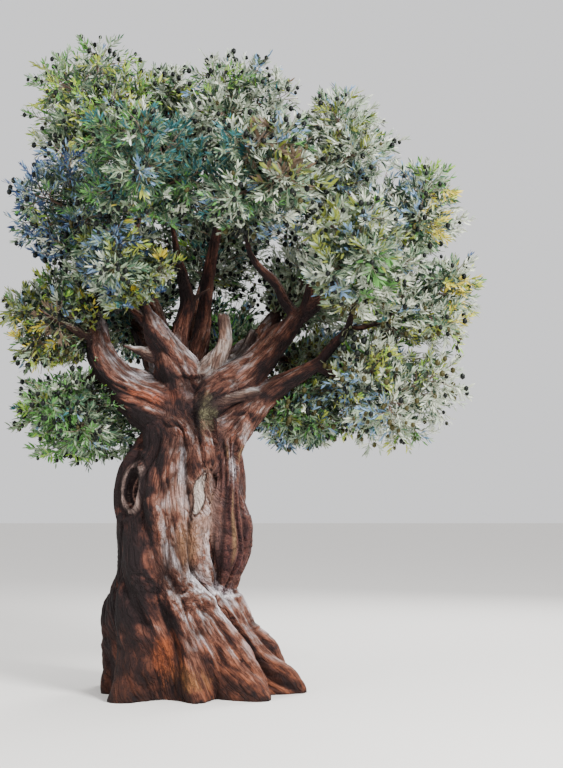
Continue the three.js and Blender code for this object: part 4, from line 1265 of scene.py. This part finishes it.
# Points of the blade: shares of its length, of its width and of its droop
bladeOutline = [(0, 0, 0), (0.33, 0.5, 0.02), (0.33, -0.5, 0.02), (0.72, 0.4, -0.25), (0.72, -0.4, -0.25),
                (1, 0, -1)]
bladeFaces = np.array([[0, 2, 1], [1, 2, 4], [1, 4, 3], [3, 4, 5]])


# The leaves along shoots: foot, direction, two directions across, length, width and twist of each, and
# the shoot that each is on.
def leavesOn(curves, scale, random):
    count = curves.shape[1]
    pairs = leaf["pairs"]
    at = np.linspace(*leaf["along"], pairs)
    base = curveAt(curves[:, :, None], at)
    a, b, c = curves[:, :, None]
    tangent = unit((b - a) * (1 - at[:, None]) + (c - b) * at[:, None])
    side, up = acrossFrom(tangent, np.abs(tangent[..., 2:3]) > 0.9)
    turn = random.random((count, 1)) * 2 * math.pi + np.arange(pairs) * math.pi / 2
    turn = turn[..., None] + np.array([0, math.pi]) + 0.5 * (random.random((count, pairs, 2)) - 0.5)
    turn = turn[..., None]
    outward = side[:, :, None] * np.cos(turn) + up[:, :, None] * np.sin(turn)
    lean = mix((leaf["angleAtFoot"], leaf["angleAtTip"]), at)[None, :, None, None]
    lean = lean + leaf["leans"] * (random.random((count, pairs, 2, 1)) - 0.5)
    direction = tangent[:, :, None] * np.cos(lean) + outward * np.sin(lean)
    direction = unit(direction + np.array([0, 0, leaf["lift"]]))
    wide = unit(np.cross(direction, outward + 1e-6) + 1e-6)
    wide = np.where(np.linalg.norm(np.cross(direction, outward), axis=-1, keepdims=True) < 0.05,
                    unit(np.cross(direction, [0.3, 0.2, 0.9])), wide)
    over = np.cross(wide, direction)
    roll = leaf["roll"] * random.standard_normal((count, pairs, 2, 1))
    wide, over = wide * np.cos(roll) + over * np.sin(roll), over * np.cos(roll) - wide * np.sin(roll)
    least, more = leaf["lengths"]
    length = leaf["length"] * (least + more * random.random((count, pairs, 2, 1)))
    length = length * (1 - leaf["shorterAtTip"] * at[:, None, None] ** 3) * scale[:, None, None, None]
    least, more = leaf["widths"]
    width = leaf["width"] * length / leaf["length"] * (least + more * random.random((count, pairs, 2, 1)))
    shoot = np.repeat(np.arange(count), pairs * 2)
    twist = leaf["twist"] * random.standard_normal((len(shoot), 1))
    feet = np.broadcast_to(base[:, :, None], direction.shape)
    parts = [part.reshape(len(shoot), -1) for part in (feet, direction, wide, over, length, width)]
    return [*parts, twist], shoot


# The mesh of all the blades, each bent down at its tip and twisted a little.
def blades(feet, direction, wide, over, length, width, twist):
    points = []
    for along, across, droop in bladeOutline:
        turn = twist * along
        spread = wide * np.cos(turn) + over * np.sin(turn)
        points.append(feet + direction * length * along + spread * width * across
                      + over * length * leaf["droop"] * droop)
    return np.stack(points, 1).reshape(-1, 3), repeated(bladeFaces, len(feet), len(bladeOutline))


# Places where the sprays take a colour of their own: middle and radii in metres, colour, share of the
# sprays, and how much longer the leaves are.
patches = [
    [(-0.42, -0.75, 3.34), (0.28, 0.5, 0.34), "mustard", 0.30, 1.35],
    [(-0.30, -0.6, 3.20), (0.34, 0.6, 0.40), "oliveGreen", 0.25, 1.2],
    [(-0.70, -0.7, 3.40), (0.26, 0.5, 0.30), "slate", 0.30, 1.0],
    [(0.60, -1.0, 4.08), (0.44, 0.5, 0.30), "umberGreen", 0.30, 1.5],
    [(1.05, -0.8, 3.66), (0.22, 0.5, 0.34), "oliveGreen", 0.45, 1.55],
    [(1.40, -0.9, 3.20), (0.20, 0.5, 0.20), "leafGreen", 0.45, 1.4],
    [(0.00, -0.9, 4.24), (0.46, 0.6, 0.36), "teal", 0.82, 1.0],
    [(-0.55, -0.9, 4.10), (0.30, 0.5, 0.34), "deepGreen", 0.45, 1.0],
    [(0.20, -0.9, 3.78), (0.34, 0.5, 0.26), "deepGreen", 0.35, 1.0],
    [(0.16, 0.0, 4.90), (0.26, 0.6, 0.20), "fresh", 0.65, 1.0],
    [(-0.30, 0.2, 4.86), (0.22, 0.6, 0.18), "yellowGreen", 0.40, 1.0],
    [(-0.62, 0.0, 4.95), (0.34, 0.6, 0.20), "oliveGreen", 0.35, 1.0],
    [(-1.25, 0.0, 4.90), (0.32, 0.6, 0.30), "leafGreen", 0.40, 1.0],
    [(-0.78, -0.2, 4.42), (0.26, 0.6, 0.20), "oliveGreen", 0.40, 1.0],
    [(-1.25, -0.3, 3.85), (0.38, 0.6, 0.50), "slate", 0.60, 1.0],
    [(-0.90, -0.3, 3.70), (0.26, 0.6, 0.26), "deepGreen", 0.40, 1.0],
    [(-1.42, 0.0, 3.05), (0.20, 0.6, 0.44), "oliveGreen", 0.50, 1.1],
    [(-1.30, 0.0, 2.78), (0.24, 0.5, 0.18), "mustard", 0.35, 1.0],
    [(-1.05, -0.1, 2.80), (0.26, 0.5, 0.2), "umberGreen", 0.45, 1.0],
    [(-1.10, 0.0, 2.02), (0.44, 0.6, 0.24), "leafGreen", 0.45, 1.1],
    [(-0.62, 0.0, 2.40), (0.26, 0.6, 0.26), "sage", 0.60, 1.0],
    [(1.20, -0.3, 4.50), (0.26, 0.5, 0.30), "oliveGreen", 0.25, 1.2],
    [(1.62, -0.4, 3.98), (0.28, 0.5, 0.34), "blueGrey", 0.55, 1.0],
    [(2.02, -0.2, 3.74), (0.28, 0.6, 0.22), "mustard", 0.55, 1.1],
    [(1.98, 0.0, 4.08), (0.24, 0.6, 0.16), "fresh", 0.40, 1.0],
    [(2.22, 0.0, 3.12), (0.26, 0.6, 0.22), "mustard", 0.60, 1.1],
    [(1.62, -0.3, 2.60), (0.30, 0.5, 0.2), "yellowGreen", 0.40, 1.1],
    [(2.05, -0.1, 2.45), (0.24, 0.6, 0.5), "pale", 0.60, 1.0],
    [(2.00, -0.2, 2.72), (0.30, 0.6, 0.20), "yellowGreen", 0.40, 1.0],
    [(1.30, -0.1, 2.25), (0.36, 0.6, 0.34), "blueGrey", 0.50, 1.0],
    [(0.95, 0.0, 1.94), (0.34, 0.5, 0.14), "yellowGreen", 0.40, 1.0],
    [(0.70, 0.1, 2.20), (0.26, 0.5, 0.2), "leafGreen", 0.35, 1.0],
]


# The colour that each shoot is dealt: one for a branchlet, now and then another for one shoot.
def dealColours(random):
    dealt = np.zeros(len(owners["branchlets"]), int)
    for index, name in enumerate(massNames):
        mine = np.flatnonzero(owners["branchlets"] == index)
        palette = masses[name][3]
        weights = np.array(list(palette.values()), float)
        names = [colourNames.index(colour) for colour in palette]
        dealt[mine] = random.choice(names, len(mine), p=weights / weights.sum())
    colours = dealt[branchletOf]
    strays = np.flatnonzero(random.random(len(colours)) < leaf["strays"])
    colours[strays] = colours[random.permutation(strays)]
    scale = np.ones(len(colours))
    ends = levels["shoots"][2]
    chance = random.random(len(colours))
    front = 0.3 + 0.7 * np.clip((0.2 - ends[:, 1]) / 0.4, 0, 1)  # fewer towards the back
    for middle, size, colour, share, longer in patches:
        inside = np.linalg.norm((ends - np.array(middle)) / np.array(size), axis=1) < 1
        inside &= chance < share * front
        colours[inside] = colourNames.index(colour)
        scale[inside] = longer
    return colours, scale


# Points clear of all limbs and the trunk by a margin.
def clearOfWood(points, margin):
    clear = np.ones(len(points), bool)
    for bone in bones.values():
        line, radius = bone["line"][::3], bone["radius"][::3]
        low = line.min(0) - radius.max() - margin
        high = line.max(0) + radius.max() + margin
        near = np.flatnonzero(np.all((points > low) & (points < high), axis=1))
        for spot, wide in zip(line, radius):
            gap = np.linalg.norm(points[near] - spot, axis=1) - wide
            clear[near[gap < margin]] = False
    return clear


# The view of the picture, from standing eye height
view = {"from": (0.69, -12, 1.6), "to": (0.69, 0, 2.45), "lens": 70}
viewpoint = np.array(view["from"])
# Fine limbs that the leaves before them leave free, and by how much
shownLimbs = ["twig_left_bare", "bough_low_right_upper", "bough_low_right_outer", "bough_right_inner"]
shownMargin = 0.014


# Points that would hide one of the shown limbs.
def inFrontOf(points):
    hides = np.zeros(len(points), bool)
    for name in shownLimbs:
        for spot, wide in zip(bones[name]["line"], bones[name]["radius"]):
            towards = unit(viewpoint - spot)
            off = points - spot
            ahead = off @ towards
            away = np.linalg.norm(off - ahead[:, None] * towards, axis=1)
            hides |= (ahead > 0) & (away < wide + shownMargin)
    return hides


# How likely something is by how deep it lies in its mass.
def chanceInside(deep, rule):
    edge, rise, most = rule
    return np.clip((edge - deep) * rise, 0, most)


random = np.random.default_rng(517)
shootColours, shootScale = dealColours(random)
leaves, shoot = leavesOn(levels["shoots"], shootScale, random)
feet, direction, length = leaves[0], leaves[1], leaves[4]
blade = direction * length
tips, leafMass, count = feet + blade, owners["shoots"][shoot], len(feet)
deep = ownDepth(tips, leafMass)
kept = keepsTo(tips, leafMass, 1.0) & (random.random(count) > leaf["dropped"])
kept &= random.random(count) > chanceInside(deep, leaf["thinned"])
kept &= clearOfWood(feet + blade * 0.5, leaf["offWood"])
for share in (0.1, 0.5, 0.9):
    kept &= ~inFrontOf(feet + blade * share)
leafColour = shootColours[shoot]
beside, under = (
    np.array([colourNames.index(leafColours[name][k]) for name in colourNames]) for k in (2, 3))
chance = random.random(count)
leafColour = np.where(chance < leaf["nextTone"], beside[leafColour], leafColour)
leafColour = np.where(chance > 1 - leaf["turnedOver"], under[leafColour], leafColour)
# leaves deep inside a mass take the dark shade green: painted shade as well as old leaves
old = random.random(count) < chanceInside(deep, leaf["old"])
leafColour = np.where(old, colourNames.index("shadeGreen"), leafColour)

# Olives: small ovals that hang from the shoots, ripe black ones and some still green-brown
olives = {
    "radius": 0.0185,
    "stretch": 1.25,
    "sides": 6,
    "rings": 2,
    "share": 0.9,
    "from": [0.6, 4],  # how far out in a mass they start, and how fast they get more
    "sizes": (0.75, 0.5),  # the smallest one's share, and how much more the largest one has
    "beside": 0.03,
    "clearing": 0.045,
    "offWood": 0.02,
    "green": [0.05, 0.55],  # share that is still green, and at the low right
}
# A bunch that hangs from the fork of the low right bough
bunch = {
    "from": (1.225, -0.215, 2.872),
    "radius": 0.025,
    "at": [(1.165, -0.36, 2.775), (1.18, -0.33, 2.71), (1.235, -0.38, 2.83), (1.262, -0.36, 2.785),
           (1.256, -0.33, 2.725), (1.282, -0.37, 2.665), (1.335, -0.34, 2.765)],
}


# An olive of radius 1, drawn out in height
def oliveShape():
    sides, rings = olives["sides"], olives["rings"]
    polar = np.linspace(1.05, math.pi - 1.05, rings)[:, None]
    turn = np.arange(sides) * 2 * math.pi / sides
    points = np.stack([np.sin(polar) * np.cos(turn), np.sin(polar) * np.sin(turn),
                       np.broadcast_to(np.cos(polar), (rings, sides))], 2).reshape(-1, 3)
    points = np.vstack([points, [[0, 0, 1], [0, 0, -1]]])
    # the rings run down, so the faces are turned to look outwards
    faces = np.vstack([grid(rings, sides), endFans(rings, sides)])[:, ::-1]
    return points * [1, 1, olives["stretch"]], faces


# The olives grow mostly on the outer shoots, where the light is, and fewer at the far right.
shoots, shootMass = levels["shoots"], owners["shoots"]
ends = shoots[2]
few = np.where((ends[:, 0] > 1.1) & (ends[:, 2] > 2.9), 0.5, 1)
edge, rise = olives["from"]
outer = np.clip((ownDepth(ends, shootMass) - edge) * rise, 0.0, 1.0)
fruiting = np.flatnonzero(random.random(len(outer)) < olives["share"] * few * outer)
mass, count = shootMass[fruiting], len(fruiting)
at = curveAt(shoots[:, fruiting], 0.35 + 0.5 * random.random(count))
least, more = olives["sizes"]
size = olives["radius"] * (least + more * random.random(count))
outward = unit(unit(at - middles[mass]) + 0.4 * random.standard_normal((count, 3)))
at = at + unit(outward - [0, 0, 0.4]) * olives["beside"]
clear = clearOfWood(at, olives["offWood"]) & keepsTo(at, mass, 0.95)
bunchAt = np.array(bunch["at"])
at = np.vstack([at[clear], bunchAt])
size = np.concatenate([size[clear], np.full(len(bunchAt), bunch["radius"])])
outward = np.vstack([outward[clear], np.tile(unit(viewpoint - bunchAt[0]), (len(bunchAt), 1))])
green = np.where((at[:, 0] > 0.6) & (at[:, 2] < 3.1), olives["green"][1], olives["green"][0])
ripe = random.random(len(at)) > green
ripe[-len(bunchAt):] = True

# a leaf before an olive's face is left out
leafMiddles = feet + blade * 0.5
leafTree = KDTree(len(leafMiddles))
for index, point in enumerate(leafMiddles):
    leafTree.insert(point, index)
leafTree.balance()
for point, way in zip(at, outward):
    for _, index, _ in leafTree.find_range(point + way * olives["clearing"], olives["clearing"]):
        kept[index] = False
for point in bunchAt:
    kept &= np.linalg.norm(leafMiddles - point, axis=1) > leaf["offBunch"]
print("leaves", int(kept.sum()), "of", len(kept), "olives", len(at))

# Olive leaves: leathery, waxed above and felted below, so satin and never glossy. Each colour is its
# own piece, and a spray is dealt one of them. Four of the pieces stand for the solids' masses.
satinLeaf = {"Roughness": 0.52, "Specular IOR Level": 0.4, "Sheen Weight": 0.12}
standsFor = {
    "deepGreen": ["top_left", "top_middle", "low_inner", "left_middle", "low_left", "rear_left", "rear_low",
                  "rear_low_right"],
    "silver": ["top_centre", "upper_right", "right", "front_upper_right", "front_right", "rear_centre",
               "rear_right"],
    "mustard": ["far_right", "low_right", "front_left"],
    "slate": ["left_upper", "front_upper_left"],
}
for index, name in enumerate(colourNames):
    hexValue, slot = leafColours[name][:2]
    mine = np.flatnonzero(kept & (leafColour == index))
    material = newMaterial("satin olive leaf, " + name, satinLeaf, hexValue)
    piece = addMesh("leaves_" + name, *blades(*(part[mine] for part in leaves)), material)
    place(piece, slot, *("foliage_" + mass for mass in standsFor.get(name, [])))
    print("leaves", name, len(mine), "triangles", len(mine) * len(bladeFaces))

# Twigs and shoots: young smooth bark, grey-brown, and grey-green on the year's shoots. Each level has
# its radius at foot and tip, its sides and its rows.
bunchTops = bunchAt + [0, 0, bunch["radius"]]
stalkFeet = np.tile(bunch["from"], (len(bunchAt), 1))
levels["stalks"] = np.array([stalkFeet, bunchTops + [0, 0.02, 0.05], bunchTops])
youngWood = {
    "twigs": ["#6E584C", {"twigs": (0.013, 0.006, 6, 6), "branchlets": (0.0055, 0.003, 3, 4)}],
    "shoots": ["#7F8464", {"shoots": (0.0034, 0.0018, 3, 2), "stalks": (0.004, 0.003, 4, 6)}],
}
for name, (hexValue, tubes) in youngWood.items():
    material = newMaterial("smooth young bark, " + name, {"Roughness": 0.7}, hexValue)
    parts = [manyTubes(levels[level], *sizes) for level, sizes in tubes.items()]
    piece = addMesh(name, *joined(parts), material)
    place(piece, "bark")
    print(name, "triangles", len(piece.data.polygons))

# Olive skin: waxy and half matt, on the ripe black ones and the green-brown ones alike
waxySkin = {"Roughness": 0.5, "Specular IOR Level": 0.2}
shape, shapeFaces = oliveShape()
for name, hexValue, mine in (("olivesRipe", "#080D0A", ripe), ("olivesGreen", "#3A3618", ~ripe)):
    material = newMaterial("waxy olive skin, " + name, waxySkin, hexValue)
    points = (at[mine][:, None] + shape[None] * size[mine][:, None, None]).reshape(-1, 3)
    triangles = repeated(shapeFaces, mine.sum(), len(shape))
    place(addMesh(name, points, triangles, material), None)
    print(name, int(mine.sum()), "triangles", len(triangles))

# Floor, light and camera
studio = {
    "floor": "#E9E6E1",
    "world": "#F4F4F6",
    "worldStrength": 1.15,
    # where each light stands, what it points at, its side in metres and its power in watts
    "key": [(6.5, -7.5, 8.5), (0.2, 0, 2.4), 3, 3000],
    "fill": [(-7, -7, 4), (0, 0, 2.6), 5, 450],
    "rim": [(4, 8, 7), (0.2, 0, 3), 4, 900],
}
floorMaterial = newMaterial("matte studio floor", {"Roughness": 0.9}, studio["floor"])
floorCorners = np.array([[-40, -40, 0], [40, -40, 0], [40, 60, 0], [-40, 60, 0]], float)
addMesh("floor", floorCorners, np.array([[0, 1, 2], [0, 2, 3]]), floorMaterial)

world = bpy.data.worlds.new("soft studio")
world.use_nodes = True
world.node_tree.nodes["Background"].inputs[0].default_value = linear(studio["world"])
world.node_tree.nodes["Background"].inputs[1].default_value = studio["worldStrength"]
bpy.context.scene.world = world


# A light or camera that looks at its target
def addAimed(name, data, where, target):
    thing = addObject(name, data)
    thing.location = where
    thing.rotation_euler = (Vector(target) - Vector(where)).to_track_quat("-Z", "Y").to_euler()
    return thing


for name in ("key", "fill", "rim"):
    where, target, size, power = studio[name]
    light = bpy.data.lights.new(name, "AREA")
    light.size = size
    light.energy = power
    addAimed(name, light, where, target)

cameraData = bpy.data.cameras.new("camera")
cameraData.lens = view["lens"]
cameraData.sensor_width = 36
bpy.context.scene.camera = addAimed("camera", cameraData, view["from"], view["to"])
